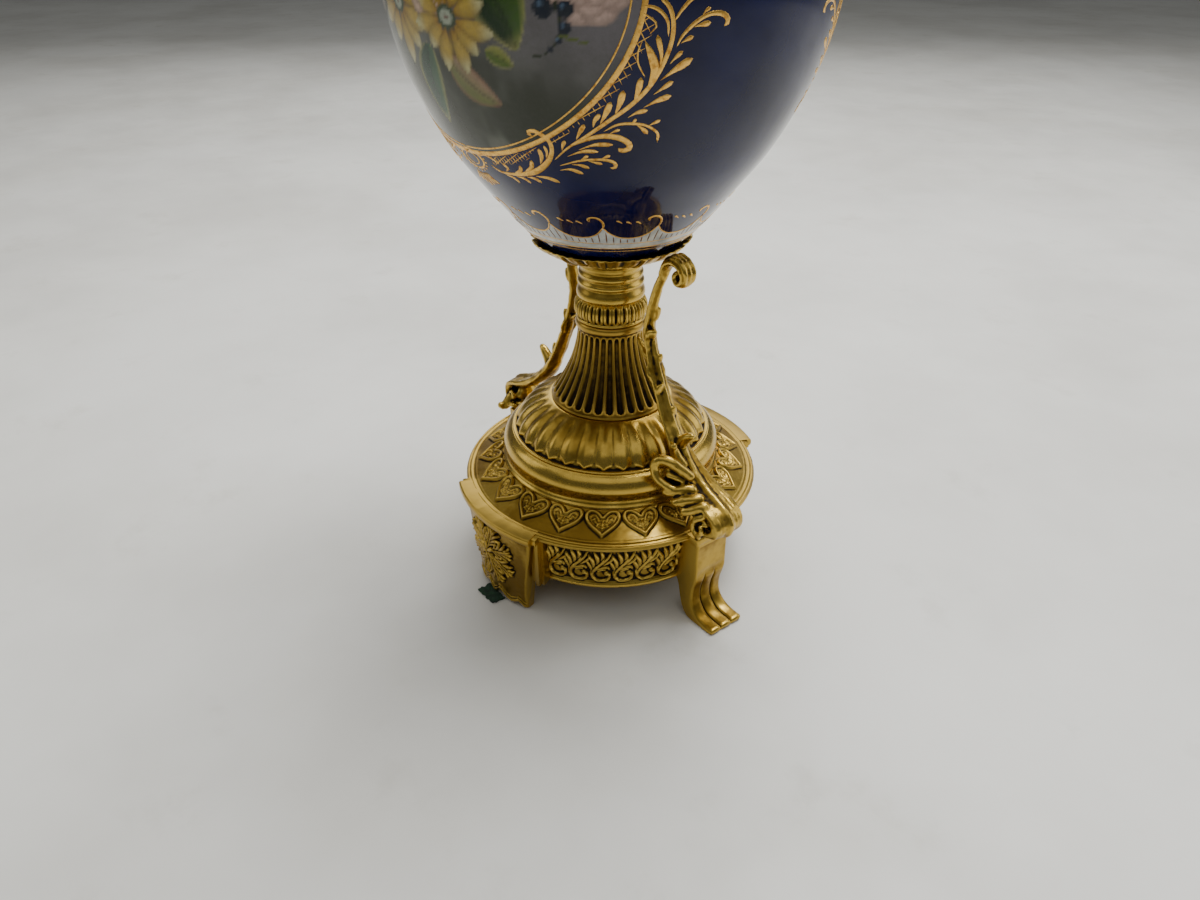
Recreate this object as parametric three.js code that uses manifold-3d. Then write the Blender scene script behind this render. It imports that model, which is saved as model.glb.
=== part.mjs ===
// Mantel urn: a porcelain vessel with a loose lid, in cast and gilt brass mounts.
// Millimetres, +Z up. The origin is on the floor under the middle of the plinth.
// The front, with one of the two plaque feet, faces -Y. The scroll feet and brackets lie along X.
import * as THREE from 'three';
import { mergeVertices } from 'three/addons/utils/BufferGeometryUtils.js';
import Module from 'manifold-3d';

const wasm = await Module();
wasm.setup();

// ---------------------------------------------------------------- driving dimensions
const RIM_R = 105;              // largest radius of the plinth's lip
const RIM_Z = 71.4;             // top of the lip
const FIT = 0.3;                // gap between two pieces that touch

const DRUM_Z = 26.5;            // underside of the drum, between the feet
const DRUM_R = 92;              // bead at the drum's lower edge
const HOLLOW_R = 86;            // inside radius of the hollow plinth
const HEART_COUNT = 21;
const HEART_PHASE = 9.9;        // degrees from +X to the first heart
const HEART_FIELD = { outer: 97.6, inner: 77, bottomZ: 71.8, topZ: 81.6 };

const PLAQUE = {
  topZ: 67, radius: 108.5, bottomRadius: 102, innerRadius: 90,
  halfAngle: 21.5, bottomHalfAngle: 17,      // degrees either side of the front
};
const ROSETTE = { petals: 8, radius: 25, depth: 3.2, z: 40 };
const SCROLL_FOOT = { width: 27, faceR: 109, toeR: 128.6 };

const TORUS_TOP_Z = 104;
const DOME_TOP_Z = 128;
const DOME_LOBES = 32;
const STEM_TOP_Z = 186;
const STEM_FLUTES = 32;
const KNOP_TOP_Z = 201.5;
const KNOP_R = 24.6;
const COLLAR_TOP_Z = 229;
const CUP_RIM = { radius: 51.7, z: 243.7 };
const CUP_LEAVES = 12;

const BODY_BOTTOM_Z = 236.8;
const BODY_MAX_R = 126.2;
const BODY_TOP_Z = 541;
const WALL = 5;                 // porcelain wall
const MOUTH_R = 43;             // outside of the porcelain neck at the mouth
const COLLAR_RING_TOP_Z = 556;
const LID_TOP_Z = 604;
const FINIAL_TOP_Z = 664;

// ---------------------------------------------------------------- finishes
const brass = (color = 0xb08a3e, roughness = 0.35) =>
  new THREE.MeshStandardMaterial({ color, roughness, metalness: 1 });
const cobalt = () => new THREE.MeshStandardMaterial({ color: 0x0b1238, roughness: 0.12, metalness: 0 });
const feltGreen = () => new THREE.MeshStandardMaterial({ color: 0x10351f, roughness: 1, metalness: 0 });

// ---------------------------------------------------------------- geometry helpers
const degrees = (value) => (value * Math.PI) / 180;
const point = ([r, z]) => new THREE.Vector2(r, z);

/** Revolve an (r, z) outline about Z. It runs from axis to axis, or closes on itself, outside going up. */
function turned(outline, segments) {
  return new THREE.LatheGeometry(outline.map(point), segments).rotateX(Math.PI / 2);
}

/** A smooth run of (r, z) points through a few given ones. */
function smooth(points, divisions) {
  return new THREE.SplineCurve(points.map(point)).getPoints(divisions).map((p) => [p.x, p.y]);
}

/** A closed outline for a wall: the outer run going up, then the inner run coming back down. */
function walled(outer, inner) {
  return [...outer, ...inner, outer[0]];
}

/** Move every vertex of a geometry by a function of its cylindrical coordinates. */
function reshape(geometry, move) {
  const position = geometry.attributes.position;
  for (let i = 0; i < position.count; i += 1) {
    const [x, y, z] = [position.getX(i), position.getY(i), position.getZ(i)];
    const radius = Math.hypot(x, y);
    const angle = Math.atan2(y, x);
    const [newRadius, newZ] = move(radius, angle, z);
    position.setXYZ(i, newRadius * Math.cos(angle), newRadius * Math.sin(angle), newZ);
  }
  return geometry;
}

/** How far a point is inside a band, from 0 at its ends to 1 in its middle part. */
function band(value, low, high, ramp) {
  const edge = Math.min(value - low, high - value) / ramp;
  return Math.min(Math.max(edge, 0), 1);
}

/** A round or oval bar bent along a path in the XZ plane, its half sizes given at 0..1 along it. */
function bentBar(pathPoints, halfWidth, halfThickness, sides, steps) {
  const path = new THREE.CatmullRomCurve3(pathPoints.map(([x, z]) => new THREE.Vector3(x, 0, z)));
  const bar = new THREE.CylinderGeometry(1, 1, 1, sides, steps);
  const position = bar.attributes.position;
  for (let i = 0; i < position.count; i += 1) {
    const t = 0.5 - position.getY(i);
    const centre = path.getPointAt(t);
    const along = path.getTangentAt(t);
    const out = position.getZ(i) * halfThickness(t);
    position.setXYZ(i, centre.x - along.z * out, position.getX(i) * halfWidth(t), centre.z + along.x * out);
  }
  return bar;
}

// ---------------------------------------------------------------- joins and cuts
function toSolid(geometry) {
  const bare = geometry.clone();
  bare.deleteAttribute('normal');
  bare.deleteAttribute('uv');
  const merged = mergeVertices(bare, 1e-4);
  const corners = merged.index.array;
  const triangles = [];
  for (let i = 0; i < corners.length; i += 3) {
    const [a, b, c] = [corners[i], corners[i + 1], corners[i + 2]];
    if (a !== b && b !== c && c !== a) triangles.push(a, b, c);
  }
  return new wasm.Manifold(new wasm.Mesh({
    numProp: 3,
    vertProperties: Float32Array.from(merged.attributes.position.array),
    triVerts: Uint32Array.from(triangles),
  }));
}

function toGeometry(solid) {
  const mesh = solid.getMesh();
  const geometry = new THREE.BufferGeometry();
  geometry.setAttribute('position', new THREE.BufferAttribute(Float32Array.from(mesh.vertProperties), 3));
  geometry.setIndex(Array.from(mesh.triVerts));
  geometry.computeVertexNormals();
  return geometry;
}

function joined(geometries) {
  const [first, ...others] = geometries.map(toSolid);
  return others.reduce((sum, next) => sum.add(next), first);
}

// ---------------------------------------------------------------- plinth
/** The ring-shaped casting: hollow below, moulded lip, and a sloping field for the hearts. */
function plinthShell() {
  const outline = [
    [0, 77], [70, 77], [HOLLOW_R, 68.5], [HOLLOW_R, DRUM_Z],
    [DRUM_R, DRUM_Z], [DRUM_R, 30], [90.5, 31.5], [95.5, 62],
    [103.6, 67.2], [RIM_R, 68.4], [104.4, RIM_Z],
    [HEART_FIELD.outer, HEART_FIELD.bottomZ], [HEART_FIELD.inner, HEART_FIELD.topZ], [0, HEART_FIELD.topZ],
  ];
  return turned(outline, 36);
}

/** One raised heart, its tip pointing outwards, lying on the sloping field. */
function heart(angle) {
  const right = [[0, -7.6], [6.2, -9.4], [11.6, -3.6], [0, 9.8]];
  const left = right.slice(1, -1).reverse().map(([u, v]) => [-u, v]);
  const shape = new THREE.Shape([...right, ...left].map(point));
  const { outer, inner, bottomZ, topZ } = HEART_FIELD;
  const slope = Math.atan2(topZ - bottomZ, outer - inner);
  const geometry = new THREE.ExtrudeGeometry(shape, { depth: 2.8, bevelEnabled: false });
  geometry.rotateZ(-Math.PI / 2).translate(0, 0, -1.4);
  geometry.rotateY(slope).translate((outer + inner) / 2 - 0.7, 0, (bottomZ + topZ) / 2);
  return geometry.rotateZ(angle);
}

/** A block bent around the axis: its corners given by half angle, radii and heights at foot and head. */
function bentBlock({ columns, rows, foot, head, edge = () => 0 }) {
  const geometry = new THREE.BoxGeometry(1, 1, 1, columns, rows, 1);
  const position = geometry.attributes.position;
  for (let i = 0; i < position.count; i += 1) {
    const across = position.getX(i);
    const up = position.getY(i) + 0.5;
    const side = position.getZ(i) > 0 ? 'outer' : 'inner';
    const mix = (key) => THREE.MathUtils.lerp(foot[key], head[key], up);
    const angle = degrees(-90 + 2 * across * mix('halfAngle'));
    const z = THREE.MathUtils.lerp(foot.z + edge(Math.abs(across)), head.z, up);
    position.setXYZ(i, mix(side) * Math.cos(angle), mix(side) * Math.sin(angle), z);
  }
  return geometry;
}

/** The scalloped lower edge of a plaque foot: pointed ears at its corners and a pendant in the middle. */
function plaqueEdge(across) {
  return across > 0.15 && across < 0.35 ? 5 : 0;
}

/** The curved front foot: rebated fillets, the plaque itself, its rosette and the lip breaking forward. */
function plaqueFoot() {
  const { topZ, radius, bottomRadius, innerRadius, halfAngle, bottomHalfAngle } = PLAQUE;
  const fillet = { halfAngle: halfAngle + 2.6, inner: innerRadius, outer: radius - 5 };
  const face = bentBlock({
    columns: 10, rows: 1, edge: plaqueEdge,
    foot: { halfAngle: bottomHalfAngle, inner: innerRadius + 2, outer: bottomRadius, z: 0 },
    head: { halfAngle, inner: innerRadius, outer: radius, z: topZ },
  });
  const fillets = bentBlock({
    columns: 4, rows: 1, foot: { ...fillet, z: DRUM_Z + 1 }, head: { ...fillet, z: topZ - 1 },
  });
  const lip = { halfAngle: halfAngle + 3.4, inner: innerRadius, outer: radius + 3 };
  const cap = bentBlock({
    columns: 4, rows: 1, foot: { ...lip, z: topZ - 1.2 }, head: { ...lip, z: RIM_Z },
  });
  return [face, fillets, cap, rosette()];
}

/** The eight-petalled rosette on a plaque, a lobed disc with a domed middle. */
function rosette() {
  const { petals, radius: size, depth } = ROSETTE;
  const outline = [[0, -3], [size, -3], [size, 0.9], [size * 0.5, depth], [0, depth]];
  const disc = reshape(turned(outline, petals * 2), (radius, angle, z) => {
    const lobe = 1 - 0.22 * (0.5 - 0.5 * Math.cos(petals * angle));
    return [radius * lobe, z];
  });
  const lean = Math.atan2(PLAQUE.radius - PLAQUE.bottomRadius, PLAQUE.topZ);
  disc.rotateX(Math.PI / 2 - lean);
  return disc.translate(0, -(PLAQUE.bottomRadius + 3.2), ROSETTE.z);
}

/** The side foot: a plain face above, a reeded inward curl below, and a small rolled toe. */
function scrollFoot() {
  const { width, faceR, toeR } = SCROLL_FOOT;
  const front = [
    [faceR + 1, 36], [faceR - 2, 24], [faceR - 1.6, 16],
    [faceR + 1, 9], [faceR + 8.5, 4.4], [toeR - 4, 3.4],
  ];
  const toe = [[toeR - 1, 3.6], [toeR, 1.9], [toeR - 0.8, 0]];
  const back = [[105, 0], [99, 5], [95, 13], [92.5, 24], [88, 32]];
  const outline = [[88, 67], [faceR, 67], ...front, ...toe, ...back];
  const shape = new THREE.Shape(outline.map(point));
  const foot = new THREE.ExtrudeGeometry(shape, { depth: width, bevelEnabled: false });
  foot.translate(0, 0, -width / 2).rotateX(Math.PI / 2);
  const grooves = [-1, 1].map((side) => {
    const path = [[faceR + 2, 40], ...front.slice(0, -1), [toeR - 3, 4.6], [toeR + 3, 4.6]];
    return bentBar(path, () => 1.5, () => 1.8, 4, 6).translate(0, (side * width) / 6, 0);
  });
  const lip = new THREE.BoxGeometry(22, width + 5, RIM_Z - 66).translate(99.2, 0, (RIM_Z + 66) / 2);
  return grooves.reduce((solid, groove) => solid.subtract(toSolid(groove)), toSolid(foot)).add(toSolid(lip));
}

function basePlinth() {
  const feet = plaqueFoot();
  const spin = (geometry, angle) => geometry.clone().rotateZ(angle);
  const pitch = 360 / HEART_COUNT;
  const hearts = Array.from({ length: HEART_COUNT }, (_, i) => heart(degrees(HEART_PHASE + i * pitch)));
  const scrolls = scrollFoot();
  return joined([plinthShell(), ...feet, ...feet.map((piece) => spin(piece, Math.PI)), ...hearts])
    .add(scrolls).add(scrolls.rotate([0, 0, 180]));
}

// ---------------------------------------------------------------- turned and lobed metal pieces
function baseTorus() {
  const bottom = HEART_FIELD.topZ + FIT;
  const shoulder = smooth([[75.4, 87.4], [76.5, 93], [74.8, 98.6], [71.4, 102.6]], 4);
  return turned([[0, bottom], [77.4, bottom], ...shoulder, [70.4, TORUS_TOP_Z], [0, TORUS_TOP_Z]], 32);
}

function gadroonedDome() {
  const bottom = TORUS_TOP_Z + FIT;
  const crown = smooth([[67.8, bottom + 1.6], [63, 115.5], [54.5, 122.4], [44, DOME_TOP_Z - 0.6]], 3);
  const foot = [[0, bottom], [69.8, bottom], [69.6, bottom + 1.2]];
  const outline = [...foot, ...crown, [42.4, DOME_TOP_Z], [0, DOME_TOP_Z]];
  return reshape(turned(outline, DOME_LOBES * 2), (radius, angle, z) => {
    const lobe = 0.5 + 0.5 * Math.cos(DOME_LOBES * angle);
    const depth = 1.4 * band(radius, 44, 66.5, 5) * band(z, bottom + 1.3, DOME_TOP_Z + 5, 2);
    return [radius - depth * (1 - lobe), z - depth * 0.5 * (1 - lobe)];
  });
}

function flutedStem() {
  const bottom = DOME_TOP_Z + FIT;
  const trumpet = smooth([[38.6, bottom + 5.5], [30.6, 147], [25, 161], [22, 177]], 3);
  const ring = [[22.6, 181.6], [22, STEM_TOP_Z]];
  const outline = [[0, bottom], [41.3, bottom], ...trumpet, ...ring, [0, STEM_TOP_Z]];
  return reshape(turned(outline, STEM_FLUTES * 2), (radius, angle, z) => {
    const valley = 0.5 - 0.5 * Math.cos(STEM_FLUTES * angle);
    return [radius - 1.7 * valley * band(z, bottom + 5, 178.5, 1), z];
  });
}

function knop() {
  const bottom = STEM_TOP_Z + FIT;
  const side = smooth([[21.8, bottom], [KNOP_R, 190.5], [KNOP_R, 195], [22.4, KNOP_TOP_Z]], 3);
  const outline = [[0, bottom], ...side, [0, KNOP_TOP_Z]];
  return reshape(turned(outline, STEM_FLUTES * 2), (radius, angle, z) => {
    const valley = 0.5 - 0.5 * Math.cos(STEM_FLUTES * angle);
    return [radius - 1.5 * valley * band(z, bottom, KNOP_TOP_Z, 3), z];
  });
}

function turnedCollar() {
  const bottom = KNOP_TOP_Z + FIT;
  const outline = [
    [0, bottom], [21.8, bottom], [22.6, 206], [21, 209.6], [21.8, 212],
    [20.4, 215], [21.2, 218], [20.2, 221], [22, 226], [21.4, COLLAR_TOP_Z], [0, COLLAR_TOP_Z],
  ];
  return turned(outline, 20);
}

/** The saucer of leaves: its rim dips between the leaves. */
function leafCup() {
  const bottom = COLLAR_TOP_Z + FIT;
  const { radius: rimR, z: rimZ } = CUP_RIM;
  const outline = [
    [0, bottom], [22, bottom], [34, bottom + 2.6], [45, rimZ - 6.6], [rimR, rimZ - 0.6], [rimR - 1, rimZ],
    [44.5, rimZ - 4.4], [36, BODY_BOTTOM_Z - FIT], [0, BODY_BOTTOM_Z - FIT],
  ];
  return reshape(turned(outline, CUP_LEAVES * 3), (radius, angle, z) => {
    const gap = Math.pow(Math.abs(Math.sin((CUP_LEAVES / 2) * angle)), 6);
    const reach = band(radius, 40, 200, 11);
    return [radius - 3.4 * gap * reach, z - 1.2 * gap * reach];
  });
}

// ---------------------------------------------------------------- brackets
/** The right-hand bracket, in the XZ plane: branch, top volute, and a fingered leaf over the foot. */
function bracket() {
  const branchPath = [
    [96, 97.5], [74, 117], [60.7, 134], [48.5, 161], [42.3, 177],
    [39.5, 193], [42, 208], [46, 220], [52, 233],
  ];
  const volutePath = [
    [51, 230], [55, 238.5], [62, 242.5], [69, 241.5],
    [72, 236.5], [70, 231.5], [65.5, 231], [64.4, 235.5],
  ];
  const leafPath = [
    [62, 133], [75, 117.5], [92, 103], [106, 94.5],
    [116.5, 89.5], [121, 82.5], [117, 76.6], [110, 76.5],
  ];
  const spikePath = [[74, 116], [78, 124], [86, 132]];
  const branch = bentBar(branchPath, (t) => 5.2 - 1.6 * t, (t) => 4.4 - 1.2 * t, 5, 8);
  const volute = bentBar(volutePath, (t) => 4 - 0.6 * t, () => 2.8, 4, 8);
  const leafWidth = (t) => 5 + 6.5 * Math.sin(Math.PI * Math.min(t * 1.15, 0.8));
  const leaf = bentBar(leafPath, leafWidth, () => 3.7, 6, 8);
  const spike = bentBar(spikePath, (t) => 3.6 * (1.15 - t), (t) => 2.6 * (1.15 - t), 4, 1);
  const knob = new THREE.OctahedronGeometry(5.4).translate(45.5, 0, 191);
  const seat = new THREE.BoxGeometry(7, 25, 20).translate(105.2, 0, RIM_Z + FIT + 10);
  const fingers = [-1, 1].flatMap((side) => [
    finger([[76, 0, 116], [80, 11 * side, 118], [83, 22 * side, 115]], 6.2),
    finger([[88, 0, 104], [87, 12 * side, 102], [83, 24 * side, 96.5]], 4.6),
    finger([[102, 0, 94], [103, 11 * side, 94], [101, 20 * side, 91]], 4.4),
    finger([[114.3, 0, 84.6], [116.1, 10 * side, 82.3], [116.2, 18 * side, 78.4]], 4.3),
  ]);
  return joined([leaf, branch, volute, spike, knob, seat, ...fingers]);
}

/** A side finger of the leaf: a tapering bar through three points. */
function finger(points, halfSize) {
  const path = new THREE.CatmullRomCurve3(points.map((p) => new THREE.Vector3(...p)));
  const bar = new THREE.CylinderGeometry(1, 1, 1, 4, 2);
  const position = bar.attributes.position;
  for (let i = 0; i < position.count; i += 1) {
    const t = 0.5 - position.getY(i);
    const centre = path.getPointAt(t);
    const across = new THREE.Vector3(position.getX(i), 0, position.getZ(i));
    const along = path.getTangentAt(t);
    const turn = new THREE.Quaternion().setFromUnitVectors(new THREE.Vector3(0, -1, 0), along);
    const size = halfSize * (0.75 + 0.35 * Math.sin(Math.PI * t));
    const moved = across.multiply(new THREE.Vector3(size, 0, size * 0.6)).applyQuaternion(turn).add(centre);
    position.setXYZ(i, moved.x, moved.y, moved.z);
  }
  return bar;
}

// ---------------------------------------------------------------- porcelain and its metalwork
/** The hollow vessel: egg-shaped body, rounded shoulder and short neck, open at the mouth. */
function urnBody() {
  const belly = [
    [34, BODY_BOTTOM_Z], [47.4, 243.6], [64, 260.4],
    [96, 302.4], [119.6, 354.9], [BODY_MAX_R, 401],
  ];
  const shoulder = [
    [121, 438], [100, 476], [70, 501], [50, 515],
    [MOUTH_R, BODY_TOP_Z - 8], [MOUTH_R + 1, BODY_TOP_Z],
  ];
  const outer = smooth([...belly, ...shoulder], 11);
  const lining = [...belly.slice(1), ...shoulder].map(([radius, z]) => [radius - WALL, z]);
  const inner = smooth(lining, 6).reverse();
  return turned([[0, BODY_BOTTOM_Z], ...outer, ...inner, [0, BODY_BOTTOM_Z + WALL]], 32);
}

function mouthCollar() {
  const bottom = BODY_TOP_Z + FIT;
  const top = COLLAR_RING_TOP_Z;
  const outer = [[39.5, bottom], [47, bottom], [48.5, bottom + 3], [46, bottom + 6], [51, top - 2]];
  return turned(walled(outer, [[51, top], [39.5, top]]), 20);
}

/** The loose lid: a hollow dome with a locating flange that hangs inside the mouth. */
function lid() {
  const seatZ = COLLAR_RING_TOP_Z + FIT;
  const outer = smooth([[51.5, seatZ + 3], [47, 573], [35, 588], [17, 598], [11.5, LID_TOP_Z]], 5);
  const inner = smooth([[12, 594], [31, 583.5], [41.5, 571], [45, seatZ + 3]], 3);
  const flange = [[33.5, seatZ + 3], [33.5, seatZ - 7], [36.5, seatZ - 7], [36.5, seatZ]];
  return turned([[0, 597], ...inner, ...flange, [51.5, seatZ], ...outer, [0, LID_TOP_Z]], 20);
}

function lidFinial() {
  const bottom = LID_TOP_Z + FIT;
  const bulb = smooth([[6, bottom + 12], [13.5, 628], [14.5, 640], [7, 655], [0, FINIAL_TOP_Z]], 6);
  const foot = [[0, bottom], [15.5, bottom], [15.5, bottom + 2.5], [8, bottom + 6], [5.4, bottom + 9]];
  return turned([...foot, ...bulb], 12);
}

/** The ragged felt scrap: a thin five-sided leaf under the front foot. */
function feltScrap() {
  const shape = new THREE.Shape([[-10, -109], [-1, -114], [9.5, -112], [11, -103.5], [-6, -103]].map(point));
  return new THREE.ExtrudeGeometry(shape, { depth: 1.2, bevelEnabled: false });
}

// ---------------------------------------------------------------- assembly
const urn = new THREE.Group();

function place(name, geometry, material) {
  const mesh = new THREE.Mesh(geometry, material);
  mesh.name = name;
  urn.add(mesh);
  return mesh;
}

place('base_plinth', toGeometry(basePlinth()), brass());
place('base_torus', baseTorus(), brass());
place('gadrooned_dome', gadroonedDome(), brass());
place('fluted_stem', flutedStem(), brass());
place('knop', knop(), brass());
place('turned_collar', turnedCollar(), brass());
place('leaf_cup', leafCup(), brass(0xb88442));

const bracketGeometry = toGeometry(bracket());
place('bracket_right', bracketGeometry, brass(0xa8823a, 0.4));
place('bracket_left', bracketGeometry, brass(0xa8823a, 0.4)).rotation.z = Math.PI;

place('urn_body', urnBody(), cobalt());
place('mouth_collar', mouthCollar(), brass());
place('lid', lid(), cobalt());
place('lid_finial', lidFinial(), brass());
place('felt_scrap', feltScrap(), feltGreen());

export default urn;
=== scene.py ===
"""Mantel urn: the finished look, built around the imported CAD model.

Measures here are millimetres until a mesh is made, which turns them into metres.
Angles are degrees counted from the painted front (-Y) towards the right-hand side (+X).
"""
import math

import bmesh
import bpy
import numpy as np
from mathutils import Matrix, Vector


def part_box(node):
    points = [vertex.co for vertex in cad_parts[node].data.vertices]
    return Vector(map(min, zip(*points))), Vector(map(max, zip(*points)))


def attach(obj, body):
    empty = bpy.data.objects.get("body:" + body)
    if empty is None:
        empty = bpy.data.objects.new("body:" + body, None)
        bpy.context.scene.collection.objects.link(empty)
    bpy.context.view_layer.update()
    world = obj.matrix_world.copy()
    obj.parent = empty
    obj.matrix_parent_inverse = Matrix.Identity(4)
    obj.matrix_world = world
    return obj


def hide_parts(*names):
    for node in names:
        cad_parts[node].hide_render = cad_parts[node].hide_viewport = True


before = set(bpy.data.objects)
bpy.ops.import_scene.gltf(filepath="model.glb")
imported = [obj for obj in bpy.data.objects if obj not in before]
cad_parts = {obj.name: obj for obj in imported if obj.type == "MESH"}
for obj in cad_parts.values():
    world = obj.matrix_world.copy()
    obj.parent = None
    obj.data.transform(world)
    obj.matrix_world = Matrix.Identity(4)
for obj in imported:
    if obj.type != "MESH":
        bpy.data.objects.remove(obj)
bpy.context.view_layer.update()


# ------------------------------------------------------------------ sizes from the CAD frame
def extent(node):
    """(lowest corner, highest corner) of a CAD node in millimetres."""
    low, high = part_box(node)
    return [value * 1000 for value in low], [value * 1000 for value in high]


def heights(node):
    low, high = extent(node)
    return low[2], high[2]


BODY_Z = heights("urn_body")
CUP_R = extent("leaf_cup")[1][0]
TOE_R = extent("base_plinth")[1][0]

HEARTS = 21
HEART_MIDDLE = 48.5
DOME_LOBES = 32
DOME_VALLEY = 8.45
FLUTES = 32
KNOP_SLOTS = 27
CUP_LEAVES = 12
ROUND_STEPS = 120


# ------------------------------------------------------------------ numbers and noise
def smoothstep(low, high, value):
    t = np.clip((value - low) / (high - low), 0.0, 1.0)
    return t * t * (3.0 - 2.0 * t)


def bump(distance, half_width):
    """A round ridge: 1 in the middle, 0 at half_width and beyond."""
    t = np.clip(np.abs(distance) / half_width, 0.0, 1.0)
    return np.sqrt(1.0 - t * t)


def curve_points(points, count):
    """count points along a smooth curve (Catmull-Rom) through a few given points."""
    given = np.asarray(points, float)
    padded = np.vstack([2 * given[0] - given[1], given, 2 * given[-1] - given[-2]])
    t = np.linspace(0, len(given) - 1, count)
    index = np.minimum(t.astype(int), len(given) - 2)
    f = (t - index)[:, None]
    p0, p1, p2, p3 = (padded[index + k] for k in range(4))
    return 0.5 * (
        2 * p1 + (p2 - p0) * f + (2 * p0 - 5 * p1 + 4 * p2 - p3) * f**2 + (3 * p1 - p0 - 3 * p2 + p3) * f**3
    )


def run_along(points):
    """How far along a polyline each of its points lies."""
    return np.concatenate([[0], np.cumsum(np.linalg.norm(np.diff(points, axis=0), axis=1))])


def even_points(points, count, dense=400):
    """count evenly spaced points along the smooth curve through the given points."""
    line = curve_points(points, dense)
    run = run_along(line)
    where = np.linspace(0, run[-1], count)
    return np.stack([np.interp(where, run, line[:, k]) for k in range(line.shape[1])], axis=1)


def noise(points, size, seed):
    """Smooth value noise from -1 to 1 at points (n, 3), with features of about the given size."""
    grid = points / size
    cell = np.floor(grid).astype(np.int64)
    f = grid - cell
    f = f * f * (3 - 2 * f)
    total = np.zeros(len(points))
    for corner in range(8):
        offset = np.array([corner & 1, (corner >> 1) & 1, (corner >> 2) & 1])
        c = cell + offset
        h = (c[:, 0] * 73856093) ^ (c[:, 1] * 19349663) ^ (c[:, 2] * 83492791) ^ (seed * 2654435761)
        h = (h ^ (h >> 13)) * 1274126177 & 0x7FFFFFFF
        value = (h % 10007) / 10006.0 * 2 - 1
        weight = np.prod(np.where(offset == 1, f, 1 - f), axis=1)
        total += value * weight
    return total


# ------------------------------------------------------------------ meshes
def make_piece(name, vertices, faces, marks=None, tint=None):
    """A smooth-shaded object from millimetre vertices and a list of (n, k) face arrays."""
    mesh = bpy.data.meshes.new(name)
    mesh.vertices.add(len(vertices))
    mesh.vertices.foreach_set("co", (np.asarray(vertices, np.float32) * 0.001).ravel())
    loops = np.concatenate([block.ravel() for block in faces]).astype(np.int32)
    sizes = np.concatenate([np.full(len(block), block.shape[1]) for block in faces])
    starts = np.concatenate([[0], np.cumsum(sizes)[:-1]]).astype(np.int32)
    mesh.loops.add(len(loops))
    mesh.loops.foreach_set("vertex_index", loops)
    mesh.polygons.add(len(sizes))
    mesh.polygons.foreach_set("loop_start", starts)
    mesh.update(calc_edges=True)
    mesh.validate()
    mesh.shade_smooth()
    for mark, values in (marks or {}).items():
        layer = mesh.attributes.new(mark, "FLOAT", "POINT")
        layer.data.foreach_set("value", np.asarray(values, np.float32).ravel())
    if tint is not None:
        layer = mesh.attributes.new("tint", "FLOAT_COLOR", "POINT")
        rgba = np.concatenate([tint, np.ones((len(tint), 1))], axis=1)
        layer.data.foreach_set("color", rgba.astype(np.float32).ravel())
    piece = bpy.data.objects.new(name, mesh)
    bpy.context.scene.collection.objects.link(piece)
    return piece


def grid_faces(rows, columns, wrap_rows=False, wrap_columns=False, start=0):
    """Quads over a (rows, columns) grid of vertices."""
    i = np.arange(rows if wrap_rows else rows - 1)
    j = np.arange(columns if wrap_columns else columns - 1)
    a, b = np.meshgrid(i, j, indexing="ij")
    a2, b2 = (a + 1) % rows, (b + 1) % columns
    quads = np.stack([a * columns + b, a2 * columns + b, a2 * columns + b2, a * columns + b2], axis=-1)
    return quads.reshape(-1, 4) + start


def finish_piece(piece, material, node):
    piece.data.materials.clear()
    piece.data.materials.append(material)
    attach(piece, "root")
    if node:
        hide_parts(node)
    return piece


def profile_normals(profile):
    """Outward normals of an (n, 2) outline whose outside lies on the right as it runs upwards."""
    along = np.gradient(profile, axis=0)
    normal = np.stack([along[:, 1], -along[:, 0]], axis=1)
    return normal / np.maximum(np.linalg.norm(normal, axis=1), 1e-9)[:, None]


def around(radius, turn, z):
    """Points at a radius and height, turn radians round the axis from the painted front."""
    return np.stack(np.broadcast_arrays(radius * np.sin(turn), -radius * np.cos(turn), z), axis=-1)


def full_turn(steps):
    return np.linspace(0, 360, steps, endpoint=False)


def spokes(count, steps_each, phase=0.0):
    """Angles round the axis, the pitch of count lobes, and each angle's place across its lobe (-1 to 1)."""
    angle = full_turn(count * steps_each)
    pitch = 360 / count
    return angle, pitch, (((angle - phase) % pitch) / pitch - 0.5) * 2


def within_outline(block, before, total):
    """Heights for a whole outline that is plain but for one block of its points."""
    return np.pad(block, ((0, 0), (before, total - before - block.shape[1])))


def revolve(name, angles, profile, height=0.0):
    """A surface of revolution about Z, raised along its normals by height (angles, profile points).

    A profile that starts or ends on the axis is closed there by a fan."""
    profile = np.asarray(profile, float)
    normal = profile_normals(profile)
    raised = np.broadcast_to(height, (len(angles), len(profile)))
    radius = profile[:, 0] + raised * normal[:, 0]
    z = profile[:, 1] + raised * normal[:, 1]
    turn = np.radians(np.asarray(angles))[:, None]
    vertices = around(radius, turn, z)
    rows, columns = vertices.shape[:2]
    on_axis = [abs(profile[0, 0]) < 1e-6, abs(profile[-1, 0]) < 1e-6]
    faces = [grid_faces(rows, columns, wrap_rows=True, wrap_columns=not any(on_axis))]
    piece = make_piece(name, vertices.reshape(-1, 3), faces)
    if any(on_axis):
        weld(piece)
    return piece


def put_back(work, piece):
    """Ends an edit of a piece's mesh."""
    work.to_mesh(piece.data)
    work.free()
    piece.data.shade_smooth()


def weld(piece, distance=1e-6):
    """Joins the vertices that lie on one another, such as the axis points of a turned shape."""
    work = bmesh.new()
    work.from_mesh(piece.data)
    bmesh.ops.remove_doubles(work, verts=work.verts, dist=distance)
    bmesh.ops.dissolve_degenerate(work, edges=work.edges, dist=distance)
    put_back(work, piece)


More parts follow.
